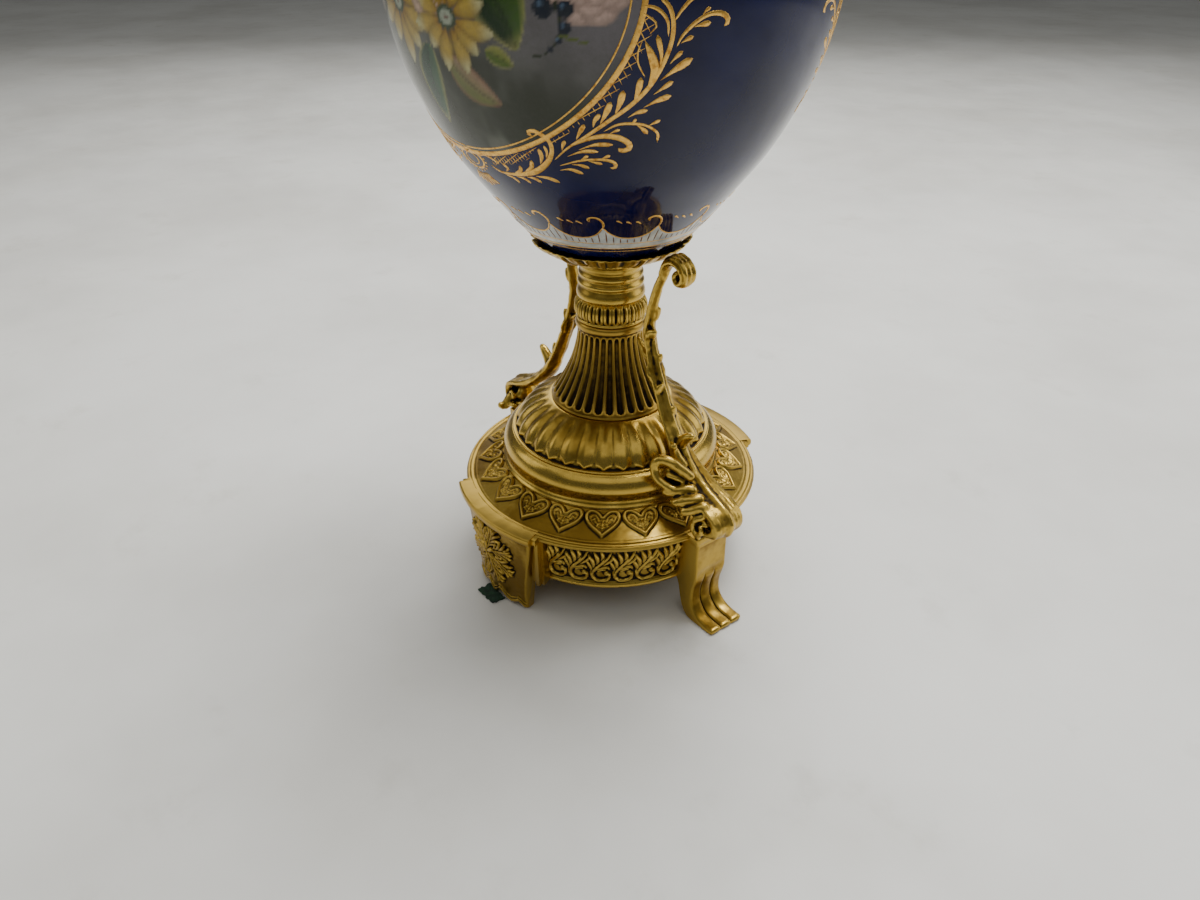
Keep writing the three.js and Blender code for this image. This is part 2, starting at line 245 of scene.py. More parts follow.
def polyline(points, step):
    """An outline resampled so that no two points are further apart than step."""
    out = [np.asarray(points[0], float)]
    for a, b in zip(points[:-1], points[1:]):
        a, b = np.asarray(a, float), np.asarray(b, float)
        count = max(1, int(math.ceil(np.linalg.norm(b - a) / step)))
        out.extend(a + (b - a) * k / count for k in range(1, count + 1))
    return np.array(out)


def soften(profile, rounds=1):
    """An outline with its corners slightly eased; its ends stay."""
    p = np.array(profile, float)
    for _ in range(rounds):
        p[1:-1] = 0.25 * p[:-2] + 0.5 * p[1:-1] + 0.25 * p[2:]
    return p


def skin(name, loops):
    """A closed surface through a row of closed loops of points, shape (loops, points, 3)."""
    loops = np.asarray(loops, float)
    rows, columns = loops.shape[:2]
    faces = [
        grid_faces(rows, columns, wrap_columns=True)[:, ::-1],
        np.arange(columns)[None, :],
        np.arange(columns)[None, ::-1] + (rows - 1) * columns,
    ]
    return make_piece(name, loops.reshape(-1, 3), faces)


def face_outwards(piece):
    work = bmesh.new()
    work.from_mesh(piece.data)
    bmesh.ops.recalc_face_normals(work, faces=work.faces)
    put_back(work, piece)


def sharpen(piece, angle=40.0):
    piece.data.set_sharp_from_angle(angle=math.radians(angle))


def join(pieces, name):
    """One object from several meshes."""
    work = bmesh.new()
    for piece in pieces:
        work.from_mesh(piece.data)
        bpy.data.objects.remove(piece)
    mesh = bpy.data.meshes.new(name)
    work.to_mesh(mesh)
    work.free()
    mesh.shade_smooth()
    whole = bpy.data.objects.new(name, mesh)
    bpy.context.scene.collection.objects.link(whole)
    return whole


def mesh_points(piece):
    points = np.empty(len(piece.data.vertices) * 3, np.float32)
    piece.data.vertices.foreach_get("co", points)
    return points.reshape(-1, 3).astype(float) * 1000


def set_points(piece, points):
    piece.data.vertices.foreach_set("co", (points * 0.001).astype(np.float32).ravel())
    piece.data.update()


def vertex_normals(piece):
    normals = np.empty(len(piece.data.vertices) * 3, np.float32)
    piece.data.vertex_normals.foreach_get("vector", normals)
    return normals.reshape(-1, 3).astype(float)


def neighbour_mean(points, ends, count):
    total = np.zeros_like(points)
    for axis in range(3):
        total[:, axis] = np.bincount(ends[:, 0], points[ends[:, 1], axis], count)
        total[:, axis] += np.bincount(ends[:, 1], points[ends[:, 0], axis], count)
    valence = np.bincount(ends.ravel(), minlength=count)
    return total / np.maximum(valence, 1)[:, None]


def mark_relief(piece, rounds, depth):
    """Writes the point attribute "relief": 1 in a hollow of the given depth, -1 on a ridge."""
    points = mesh_points(piece)
    ends = np.empty(len(piece.data.edges) * 2, np.int32)
    piece.data.edges.foreach_get("vertices", ends)
    ends = ends.reshape(-1, 2)
    smooth = points.copy()
    for _ in range(rounds):
        smooth = 0.5 * smooth + 0.5 * neighbour_mean(smooth, ends, len(points))
    rise = np.einsum("ij,ij->i", smooth - points, vertex_normals(piece))
    layer = piece.data.attributes.new("relief", "FLOAT", "POINT")
    layer.data.foreach_set("value", np.clip(rise / depth, -1, 1).astype(np.float32))


def roughen(piece, sizes, amounts, seed=1):
    """The small unevenness of cast and hand-finished metal."""
    points = mesh_points(piece)
    rise = sum(noise(points, size, seed + i) * amount for i,
            (size, amount) in enumerate(zip(sizes, amounts)))
    set_points(piece, points + rise[:, None] * vertex_normals(piece))


def cast(piece, sizes, amounts, seed, relief, material, node, sharp=None, bounded=False):
    """The last steps of a metal piece: unevenness, marked hollows (rounds, depth) and its finish."""
    roughen(piece, sizes, amounts, seed)
    if bounded:
        keep_inside(piece)
    face_outwards(piece)
    mark_relief(piece, *relief)
    if sharp:
        sharpen(piece, sharp)
    return finish_piece(piece, material, node)


# ------------------------------------------------------------------ relief drawn with strokes
def nearest(points, line):
    """Distance from each point (n, 2) to a polyline (m, 2), and how far along it that lies, 0 to 1."""
    best = np.full(len(points), 1e9)
    along = np.zeros(len(points))
    steps = np.linalg.norm(np.diff(line, axis=0), axis=1)
    run = np.concatenate([[0], np.cumsum(steps)]) / max(steps.sum(), 1e-9)
    for k, (a, b) in enumerate(zip(line[:-1], line[1:])):
        edge = b - a
        t = np.clip(((points - a) @ edge) / max(edge @ edge, 1e-12), 0, 1)
        distance = np.linalg.norm(points - a - t[:, None] * edge, axis=1)
        closer = distance < best
        best = np.where(closer, distance, best)
        along = np.where(closer, run[k] + t * (run[k + 1] - run[k]), along)
    return best, along


def stroke(points, path, widths, rise, sharp=0.5, count=14):
    """Height of a rounded stroke along a smooth path: its half-width follows widths, its height rise."""
    line = even_points(path, count)
    reach = max(widths) + 0.01
    near = np.all((points > line.min(0) - reach) & (points < line.max(0) + reach), axis=1)
    height = np.zeros(len(points))
    if not near.any():
        return height
    distance, along = nearest(points[near], line)
    width = np.interp(along, np.linspace(0, 1, len(widths)), widths)
    lift = np.interp(along, np.linspace(0, 1, np.size(rise)), np.atleast_1d(rise))
    height[near] = lift * np.clip(1 - (distance / np.maximum(width, 1e-6)) ** 2, 0, 1) ** sharp
    return height


def inside(points, outline):
    """True where points (n, 2) lie inside a closed outline (m, 2)."""
    result = np.zeros(len(points), bool)
    x, y = points[:, 0], points[:, 1]
    for (x1, y1), (x2, y2) in zip(outline, np.roll(outline, -1, axis=0)):
        crosses = (y1 > y) != (y2 > y)
        with np.errstate(divide="ignore", invalid="ignore"):
            where = (x2 - x1) * (y - y1) / (y2 - y1) + x1
        result ^= crosses & (x < where)
    return result


# ------------------------------------------------------------------ materials
def linear(red, green, blue):
    """A linear colour from everyday 0-255 values."""
    shares = (value / 255 for value in (red, green, blue))
    return tuple(((c + 0.055) / 1.055) ** 2.4 if c > 10 / 255 else c / 12.92 for c in shares)


class Finish:
    """A material and short ways to add its nodes."""

    def __init__(self, name):
        self.material = bpy.data.materials.new(name)
        self.material.use_nodes = True
        self.tree = self.material.node_tree
        self.tree.nodes.clear()
        self.shader = self.tree.nodes.new("ShaderNodeBsdfPrincipled")
        output = self.tree.nodes.new("ShaderNodeOutputMaterial")
        self.tree.links.new(self.shader.outputs[0], output.inputs[0])
        self.where = self.tree.nodes.new("ShaderNodeTexCoord").outputs["Object"]

    def put(self, socket, value):
        if isinstance(value, bpy.types.NodeSocket):
            self.tree.links.new(value, socket)
        elif isinstance(value, tuple) and len(value) == 3 and socket.type == "RGBA":
            socket.default_value = (*value, 1)
        else:
            socket.default_value = value

    def set(self, **values):
        for key, value in values.items():
            self.put(self.shader.inputs[key.replace("_", " ")], value)

    def noise(self, size, detail=3.0, rough=0.55, stretch=None):
        node = self.tree.nodes.new("ShaderNodeTexNoise")
        node.inputs["Scale"].default_value = 1000.0 / size
        node.inputs["Detail"].default_value = detail
        node.inputs["Roughness"].default_value = rough
        self.put(node.inputs["Vector"], self.stretched(stretch) if stretch else self.where)
        return node.outputs["Fac"]

    def stretched(self, stretch):
        node = self.tree.nodes.new("ShaderNodeMapping")
        node.inputs["Scale"].default_value = stretch
        self.put(node.inputs["Vector"], self.where)
        return node.outputs[0]

    def attribute(self, name, colour=False):
        node = self.tree.nodes.new("ShaderNodeAttribute")
        node.attribute_name = name
        return node.outputs["Color" if colour else "Fac"]

    def remap(self, value, low, high, to_low=0.0, to_high=1.0):
        node = self.tree.nodes.new("ShaderNodeMapRange")
        node.interpolation_type = "SMOOTHSTEP"
        for socket, number in zip(node.inputs[1:5], (low, high, to_low, to_high)):
            socket.default_value = number
        self.put(node.inputs[0], value)
        return node.outputs[0]

    def math(self, operation, first, second=0.0):
        node = self.tree.nodes.new("ShaderNodeMath")
        node.operation = operation
        self.put(node.inputs[0], first)
        self.put(node.inputs[1], second)
        return node.outputs[0]

    def mix(self, share, first, second):
        node = self.tree.nodes.new("ShaderNodeMix")
        node.data_type = "RGBA"
        self.put(node.inputs[0], share)
        self.put(node.inputs[6], first)
        self.put(node.inputs[7], second)
        return node.outputs[2]

    def bump(self, height, distance, strength=1.0, base=None):
        node = self.tree.nodes.new("ShaderNodeBump")
        node.inputs["Strength"].default_value = strength
        node.inputs["Distance"].default_value = distance * 0.001
        self.put(node.inputs["Height"], height)
        if base is not None:
            self.put(node.inputs["Normal"], base)
        return node.outputs[0]


def aged_brass(name, bright, dull, grime, polish=0.24, spread=0.5, stain=0.55):
    """Lacquered cast brass: bright on its ridges, dull between, and brown-black in its hollows."""
    f = Finish(name)
    relief = f.attribute("relief")
    broad = f.noise(38, 4, 0.6)
    fine = f.noise(4.5, 4, 0.65)
    specks = f.noise(1.3, 2, 0.5)
    tarnish = f.remap(broad, 0.5 - 0.2 * spread, 0.5 + 0.2 * spread)
    worn = f.remap(relief, -0.1, -0.5)
    tarnish = f.math("MULTIPLY", tarnish, f.math("SUBTRACT", 1.0, worn))
    colour = f.mix(tarnish, bright, dull)
    shifted = f.math("ADD", relief, f.math("MULTIPLY", f.math("SUBTRACT", fine, 0.5), 0.35))
    hollow = f.remap(shifted, 0.06, stain)
    colour = f.mix(hollow, colour, grime)
    spots = f.remap(specks, 0.66, 0.8, 0.0, 0.35)
    colour = f.mix(spots, colour, grime)
    rough = f.math("ADD", polish, f.math("MULTIPLY", fine, 0.14))
    rough = f.math("ADD", rough, f.math("MULTIPLY", hollow, 0.3))
    rough = f.math("ADD", rough, f.math("MULTIPLY", tarnish, 0.1))
    metal = f.remap(hollow, 0.3, 1.0, 1.0, 0.75)
    normal = f.bump(fine, 0.12, 0.35)
    normal = f.bump(specks, 0.05, 0.5, normal)
    f.set(Base_Color=colour, Roughness=rough, Metallic=metal, Normal=normal)
    return f.material


BRIGHT = linear(196, 164, 76)
DULL = linear(136, 107, 38)
GRIME = linear(36, 25, 10)

PLINTH_BRASS = aged_brass("aged_brass_plinth", linear(184, 152, 68), linear(130, 101, 35), GRIME)
TURNED_BRASS = aged_brass("aged_brass_turned", BRIGHT, DULL, GRIME, polish=0.18, spread=0.7)
CARVED_BRASS = aged_brass("aged_brass_carved", BRIGHT, DULL, GRIME, polish=0.22)
STEM_BRASS = aged_brass("aged_brass_stem", linear(168, 136, 60), linear(104, 78, 26), GRIME, polish=0.24)


def blue_glaze(name, dark, light, dullest, ripple, ior, pictures=False):
    """Deep blue glaze with a little depth of tone, fine rubbing and hairline scratches.

    With pictures, the enamels of the mesh's "tint" show where its "painted" says so."""
    f = Finish(name)
    cloud = f.noise(70, 3, 0.5)
    colour = f.mix(f.remap(cloud, 0.35, 0.68), dark, light)
    if pictures:
        dapple = f.remap(f.noise(2.6, 3, 0.6), 0.35, 0.7, 0.0, 0.16)
        paint = f.mix(dapple, f.attribute("tint", colour=True), linear(66, 68, 60))
        colour = f.mix(f.attribute("painted"), colour, paint)
    rubbing = f.noise(16, 5, 0.7)
    scratches = f.remap(f.noise(9, 2, 0.4, stretch=(1.0, 1.0, 0.06)), 0.66, 0.7)
    rough = f.math("ADD", f.remap(rubbing, 0.4, 0.8, 0.05, dullest), f.math("MULTIPLY", scratches, 0.06))
    waves = f.bump(f.noise(22, 2, 0.4), *ripple)
    f.set(Base_Color=colour, Roughness=rough, Normal=f.bump(scratches, 0.01, 0.3, waves), IOR=ior)
    return f.material


def burnished_gilding():
    """Gold painted on the glaze: thin, a little uneven, and rubbed at its edges."""
    f = Finish("burnished_gilding")
    thin = f.noise(3.0, 4, 0.65)
    colour = f.mix(f.remap(thin, 0.45, 0.75), linear(232, 184, 92), linear(176, 116, 44))
    rough = f.remap(thin, 0.3, 0.8, 0.24, 0.5)
    f.set(Base_Color=colour, Metallic=0.9, Roughness=rough, Normal=f.bump(thin, 0.05, 0.4))
    return f.material


GLAZE = blue_glaze("cobalt_glaze", linear(7, 12, 52), linear(13, 22, 74), 0.16, (0.25, 0.25), 1.45)
PORCELAIN = blue_glaze("painted_porcelain", linear(7, 12, 50), linear(12, 20, 70), 0.15, (0.2, 0.22), 1.38,
        True)
GILDING = burnished_gilding()


# ------------------------------------------------------------------ plinth top: hearts and moulded lip
HEART_INNER = (77.0, 81.6)
HEART_OUTER = (97.6, 71.8)


def heart_outline(count=72):
    """A heart, tip towards +v, in (u, v) with v measured outwards from the torus."""
    t = np.linspace(0, 2 * np.pi, count, endpoint=False)
    across = 16 * np.sign(np.sin(t)) * np.abs(np.sin(t)) ** 2.3
    up = 13 * np.cos(t) - 5 * np.cos(2 * t) - 2 * np.cos(3 * t) - np.cos(4 * t)
    return np.stack([across * 0.74, 0.8 + (12 - up) * 0.715], axis=1)


def heart_height(points):
    """Height of one heart over its field, at points (u, v) in millimetres from its middle line."""
    outline = heart_outline()
    within = inside(points, outline)
    depth, _ = nearest(points, np.vstack([outline, outline[:1]]))
    depth = np.where(within, depth, -depth)
    height = 1.15 * smoothstep(-0.35, 0.35, depth)
    height += 1.1 * bump(depth - 1.15, 1.15)
    height -= 0.6 * smoothstep(2.1, 2.6, depth)
    height += 0.5 * bump(depth - 3.0, 0.6)
    height += 0.75 * smoothstep(3.4, 7.0, depth)
    for side in (-1, 1):
        curl = [(2.0, 8.6), (3.2, 5.4), (5.6, 4.6), (6.6, 6.6), (5.4, 8.2), (4.2, 7.2)]
        leaf = [(0.4, 13.6), (2.0, 12.4), (4.6, 11.9), (6.0, 9.8)]
        for path, widths, rise in (
            (curl, [0.8, 0.9, 0.7], 0.75),
            (leaf, [0.5, 0.9, 0.35], 0.7),
            ([(1.2, 9.6), (2.6, 11.2), (3.0, 13.4)], [0.6, 0.8, 0.3], 0.8),
            ([(3.4, 9.4), (2.6, 10.8), (1.0, 11.4)], [0.6, 0.7, 0.3], 0.7),
        ):
            mirrored = [(side * u * 1.24, v * 1.08) for u, v in path]
            height += np.where(depth > 3.2, stroke(points, mirrored, widths, rise), 0)
    height += np.where(depth > 3.6, stroke(points, [(0, 6.6), (0, 9.5), (0, 16.4)], [0.9, 0.7, 0.3], 0.6),
            0)
    return height


def plinth_top():
    """The heart field and the stepped lip in one ring, closed underneath."""
    rows = HEARTS * 48
    field = np.linspace(HEART_INNER, HEART_OUTER, 47)
    lip = [HEART_OUTER, (98.9, 71.6), (99.3, 71.1), (99.8, 71.1), (100.2, 71.5), (101.9, 71.4),
            (102.3, 70.8), (102.8, 70.8), (103.1, 71.1), (103.9, 70.9), (104.2, 70.3), (104.0, 69.9),
            (104.7, 69.7), (105.0, 69.0), (104.6, 68.2), (103.6, 67.2), (95.6, 62.0), (88.0, 62.0),
            (70.0, 77.0), (60.0, 77.0), (60.0, 81.6), (72.0, 81.6)]
    outline = np.vstack([field, lip[1:]])[::-1]
    turn = HEART_MIDDLE - 180 / HEARTS + np.arange(rows) * 360 / rows
    radius = field[:, 0]
    slope = np.linalg.norm(field - field[0], axis=1)
    cell = (np.arange(48) - 23.5) / 48 * 360 / HEARTS
    u = np.radians(cell)[:, None] * radius[None, :]
    v = np.broadcast_to(slope, u.shape)
    one = heart_height(np.stack([u.ravel(), v.ravel()], axis=1)).reshape(u.shape)
    edge = smoothstep(0.0, 1.5, slope) * smoothstep(slope[-1], slope[-1] - 1.0, slope)
    height = np.zeros((rows, len(outline)))
    height[:, len(lip) - 1:] = (np.tile(one, (HEARTS, 1)) * edge)[:, ::-1]
    piece = revolve("plinth_heart_field", turn, outline, height)
    return cast(piece, (7, 1.6), (0.08, 0.05), 11, (12, 0.85), PLINTH_BRASS, "base_plinth")


# ------------------------------------------------------------------ drum with its leaf frieze
LEAF_PITCH = 9.5
LEAVES = 6
FRIEZE_BOTTOM = (90.5, 31.5)
FRIEZE_TOP = (95.6, 62.0)
FRIEZE_MIDDLE = 53.0


def frieze_leaf(points):
    """One scrolled leaf of the frieze at points (x, y) in millimetres from its lower left corner."""
    stem = [(10.6, 8.6), (12.6, 7.4), (12.2, 3.4), (8.4, 1.2), (4.0, 1.5), (1.2, 4.6), (1.0, 8.6),
            (3.4, 13.4), (8.0, 18.8), (11.6, 23.2), (13.6, 28.0)]
    height = stroke(points, stem, [1.5, 1.1, 1.1, 1.2, 1.4, 1.9, 2.3, 1.9, 1.2, 0.6], 2.2, 0.55, 48)
    height = np.maximum(height, stroke(points, [(10.6, 8.4), (10.7, 8.8)], [1.7, 1.7], 2.6, 0.5, 4))
    fingers = [
        ([(1.2, 11.6), (-0.2, 16.0), (-2.8, 21.0)], [1.4, 1.9, 0.5], 2.2),
        ([(2.6, 14.4), (1.8, 19.6), (-0.8, 25.4)], [1.5, 2.0, 0.5], 2.3),
        ([(5.2, 17.6), (5.0, 22.6), (3.0, 28.2)], [1.5, 2.0, 0.5], 2.3),
        ([(8.0, 20.8), (8.6, 25.0), (7.4, 29.4)], [1.4, 1.8, 0.5], 2.2),
        ([(7.6, 16.8), (11.6, 19.2), (14.2, 22.0), (14.8, 25.8)], [1.2, 1.5, 1.1, 0.3], 2.0),
        ([(4.2, 12.6), (8.2, 14.2), (11.6, 14.4), (12.6, 12.8)], [1.2, 1.6, 1.0, 0.5], 2.0),
        ([(5.0, 10.2), (7.6, 11.8), (10.0, 11.6)], [0.7, 1.0, 0.4], 1.5),
    ]
    for path, widths, rise in fingers:
        height = np.maximum(height, stroke(points, path, widths, rise, 0.55))
    veins = [
        [(0.2, 8.4), (2.0, 13.8), (6.4, 19.6), (9.6, 24.6), (11.0, 28.0)],
        [(6.4, 14.8), (10.4, 19.6), (13.4, 24.6)],
    ]
    for path in veins:
        height -= stroke(points, path, [0.5, 0.6, 0.3], 0.9, 0.5, 20)
    return np.maximum(height, -0.1)


def leaf_cell(angle_steps, slope):
    """The frieze heights over one pitch, with what reaches in from the leaves on both sides."""
    middle = 0.5 * (FRIEZE_BOTTOM[0] + FRIEZE_TOP[0])
    pitch = math.radians(LEAF_PITCH) * middle
    x = (np.arange(angle_steps) + 0.5) / angle_steps * pitch
    grid = np.stack(np.meshgrid(x, slope, indexing="ij"), axis=-1).reshape(-1, 2)
    best = np.zeros(len(grid))
    for shift in (-pitch, 0, pitch):
        best = np.maximum(best, frieze_leaf(grid - (shift, 0)))
    return best.reshape(angle_steps, len(slope))


def drum():
    """The pierced ring between the feet: frieze outside, plain inside."""
    steps = 27
    foot = soften(np.array([(86, 26.5), (89, 26.5), (91.2, 26.5), (92, 27.1), (92.2, 28.2), (92, 29.4),
            (91.3, 30.3), (90.6, 30.7), FRIEZE_BOTTOM]))
    wall = np.linspace(FRIEZE_BOTTOM, FRIEZE_TOP, 56)
    top = np.array([(95.6, 64.5), (91, 66.5), (86.5, 66.5), (86, 56), (86, 40)])
    outline = np.vstack([foot[:-1], wall, top])
    slope = np.linalg.norm(wall - wall[0], axis=1)
    cell = leaf_cell(steps, slope) * smoothstep(0, 0.8, slope) * smoothstep(31.2, 29.8, slope)
    run = np.tile(cell, (LEAVES, 1))
    span = LEAF_PITCH * LEAVES
    angles, heights_ = [], []
    for quarter in range(4):
        middle = FRIEZE_MIDDLE if quarter % 2 == 0 else 90 - FRIEZE_MIDDLE
        start = quarter * 90 + middle - span / 2
        angles.extend(start + (np.arange(len(run)) + 0.5) / len(run) * span)
        heights_.append(run)
        gap_end = start + span
        following = (quarter + 1) * 90 + (FRIEZE_MIDDLE if quarter % 2 else 90 - FRIEZE_MIDDLE) - span / 2
        plain = np.linspace(gap_end, following, 12)[1:-1]
        angles.extend(plain)
        heights_.append(np.zeros((len(plain), len(slope))))
    height = np.zeros((len(angles), len(outline)))
    height[:, len(foot) - 1:len(foot) - 1 + len(wall)] = np.vstack(heights_) - 0.9
    height[:, len(foot) - 1] = 0
    order = np.argsort(np.array(angles) % 360)
    piece = revolve("plinth_leaf_drum", (np.array(angles) % 360)[order], outline, height[order])
    return cast(piece, (6, 1.4), (0.07, 0.06), 23, (14, 0.42), CARVED_BRASS, "base_plinth")


# ------------------------------------------------------------------ rosette plaques (front and back feet)
PLAQUE_TOP = 65.9
PLAQUE_R = (102.0, 108.5)
PLAQUE_ANGLE = (17.0, 21.5)
PLAQUE_BACK_R = 94.5
ROSETTE_Z = 40.0
ROSETTE_SCALE = 1.17


def plaque_bottom(across):
    """Height of the scalloped lower edge, across from -1 to 1."""
    key = [0, 0.10, 0.2, 0.3, 0.42, 0.56, 0.68, 0.78, 0.88, 0.95, 1.0]
    rise = [0.8, 2.8, 6.4, 5.2, 2.0, 0.9, 2.2, 4.2, 2.4, 0.6, 0.0]
    return np.interp(np.abs(across), key, rise)


def rosette_height(points):
    """A six-petalled eye in eight fingered, drilled leaves; points are millimetres from the eye."""
    points = points / ROSETTE_SCALE
    radius = np.hypot(points[:, 0], points[:, 1])
    height = np.zeros(len(points))
    for k in range(8):
        turn = math.radians(45 * k + 22.5)
        c, s = math.cos(turn), math.sin(turn)
        x = points[:, 0] * c + points[:, 1] * s
        y = -points[:, 0] * s + points[:, 1] * c
        leaf = np.stack([x, y], axis=1)
        lift = stroke(leaf, [(3.5, 0), (10, 0), (19.5, 0)], [1.5, 2.4, 3.4, 2.2], 1.3, 0.6)
        for side in (-1, 1):
            for start, mid, tip, width in (
                ((6, 0.6), (9, 2.6), (11.2, 5.2), 1.35),
                ((9, 0.8), (13, 3.2), (15.6, 6.2), 1.5),
                ((12, 0.6), (16.6, 2.6), (19.6, 5.0), 1.45),
                ((14, 0.2), (18.6, 1.0), (21.6, 2.4), 1.3),
            ):
                path = [(px, side * py) for px, py in (start, mid, tip)]
                lift = np.maximum(lift, stroke(leaf, path, [1.0, width, 0.6], 2.0, 0.55))
                hole = [(mid[0] - 0.4, side * (mid[1] + 1.5)), (tip[0] - 1.3, side * (tip[1] + 0.1))]
                lift -= stroke(leaf, hole, [0.35, 0.75, 0.5], 1.3, 0.5, 5)
        lift = np.maximum(lift, stroke(leaf, [(3, 0), (12, 0), (21, 0)], [0.9, 0.8, 0.4], 2.3, 0.6))
        lift -= stroke(leaf, [(5, 0.95), (12, 1.0), (18, 0.9)], [0.3, 0.45, 0.2], 0.8, 0.5)
        height = np.maximum(height, lift)
    for k in range(6):
        turn = math.radians(60 * k + 30)
        petal = [(0.6 * math.cos(turn), 0.6 * math.sin(turn)), (6.4 * math.cos(turn), 6.4 * math.sin(turn))]
        height = np.maximum(height, stroke(points, petal, [0.9, 2.1, 2.1, 0.8], 3.0, 0.55))
    height = np.where(radius < 1.6, 3.4 * np.sqrt(np.clip(1 - (radius / 1.7) ** 2, 0, 1)) , height)
    return height * 1.15


def plaque(name, facing):
    """A curved foot plate with a rosette; facing is the angle of its middle."""
    across = np.linspace(-1, 1, 124)
    up = np.linspace(0, 1, 118)
    low = plaque_bottom(across)
    z = low[:, None] + (PLAQUE_TOP - low[:, None]) * up[None, :]
    share = z / PLAQUE_TOP
    half = PLAQUE_ANGLE[0] + (PLAQUE_ANGLE[1] - PLAQUE_ANGLE[0]) * smoothstep(0.1, 1.0, share)
    base = PLAQUE_R[0] + (PLAQUE_R[1] - PLAQUE_R[0]) * share
    base = base + 3.2 * (1 - share) * (1 - np.abs(across))[:, None] ** 0.7
    turn = np.radians(across[:, None] * half)
    x = turn * base
    flat = np.stack([x.ravel(), (z - ROSETTE_Z).ravel()], axis=1)
    relief = rosette_height(flat).reshape(z.shape)
    side_gap = (1 - np.abs(across))[:, None] * np.radians(half) * base
    above_edge = z - low[:, None]
    room = smoothstep(1.6, 3.2, side_gap) * smoothstep(2.6, 3.8, above_edge) * smoothstep(PLAQUE_TOP, 62.5,
            z)
    relief = relief * room
    border = 1.3 * bump(above_edge - 1.9, 1.5) * smoothstep(0.0, 0.06, 1 - np.abs(across))[:, None]
    border += 0.7 * bump(above_edge - 4.6, 0.7)
    relief = np.maximum(relief, np.where(above_edge < 6, border, 0))
    rounding = -0.9 * (1 - bump(np.clip(1.2 - side_gap, 0, 1.2), 1.2))
    rounding = rounding - 0.8 * (1 - bump(np.clip(1 - above_edge, 0, 1), 1))
    radius = base - 1.0 + relief + rounding
    front = around(radius, turn, z)
    ends = [-1, 0]
    back = around(PLAQUE_BACK_R, turn[:, ends], z[:, ends])
    loops = np.concatenate([front, back], axis=1)
    face = skin(name + "_face", loops)
    parts = [face] + plaque_mouldings(name)
    piece = join(parts, name)
    piece.data.transform(Matrix.Rotation(math.radians(facing), 4, "Z"))
    return cast(piece, (6, 1.4), (0.07, 0.05), 31, (14, 0.5), PLINTH_BRASS, "base_plinth",
            sharp=50, bounded=True)


def bent_strip(name, section, low_angle, high_angle, steps):
    """A closed (radius, z) section carried round the axis between two angles."""
    turn = np.radians(np.linspace(low_angle, high_angle, steps))[:, None]
    section = np.asarray(section, float)
    return skin(name, around(section[:, 0], turn, section[:, 1]))


def plaque_mouldings(name):
    """The smooth cap over the plate and the two rebated fillets beside it."""
    cap = [(96, 65.8), (110.2, 65.8), (111.0, 66.3), (111.5, 67.2), (111.5, 70.2), (111.1, 71.0),
            (110.3, 71.4), (96, 71.4)]
    shoulder = [(96, 66.0), (107.6, 66.0), (108.4, 66.6), (108.4, 70.0), (107.7, 70.8), (96, 70.9)]
    parts = [
        bent_strip(name + "_cap", cap, -23.2, 23.2, 60),
        bent_strip(name + "_shoulder", shoulder, -24.9, 24.9, 60),
    ]
    for side in (-1, 1):
        strip = [(92, 27.6), (102.6, 27.6), (103.4, 28.4), (103.4, 66), (92, 66)]
        groove = [(92, 27.0), (99.4, 27.0), (99.9, 27.6), (99.9, 66), (92, 66)]
        ends = sorted((side * 22.6, side * 24.1))
        parts.append(bent_strip(name + "_fillet", strip, *ends, 8))
        ends = sorted((side * 19.5, side * 25.2))
        parts.append(bent_strip(name + "_rebate", groove, *ends, 10))
    return parts


# ------------------------------------------------------------------ scroll feet (right and left)
FOOT_WIDTH = 27.0
FLOOR_GAP = 0.02


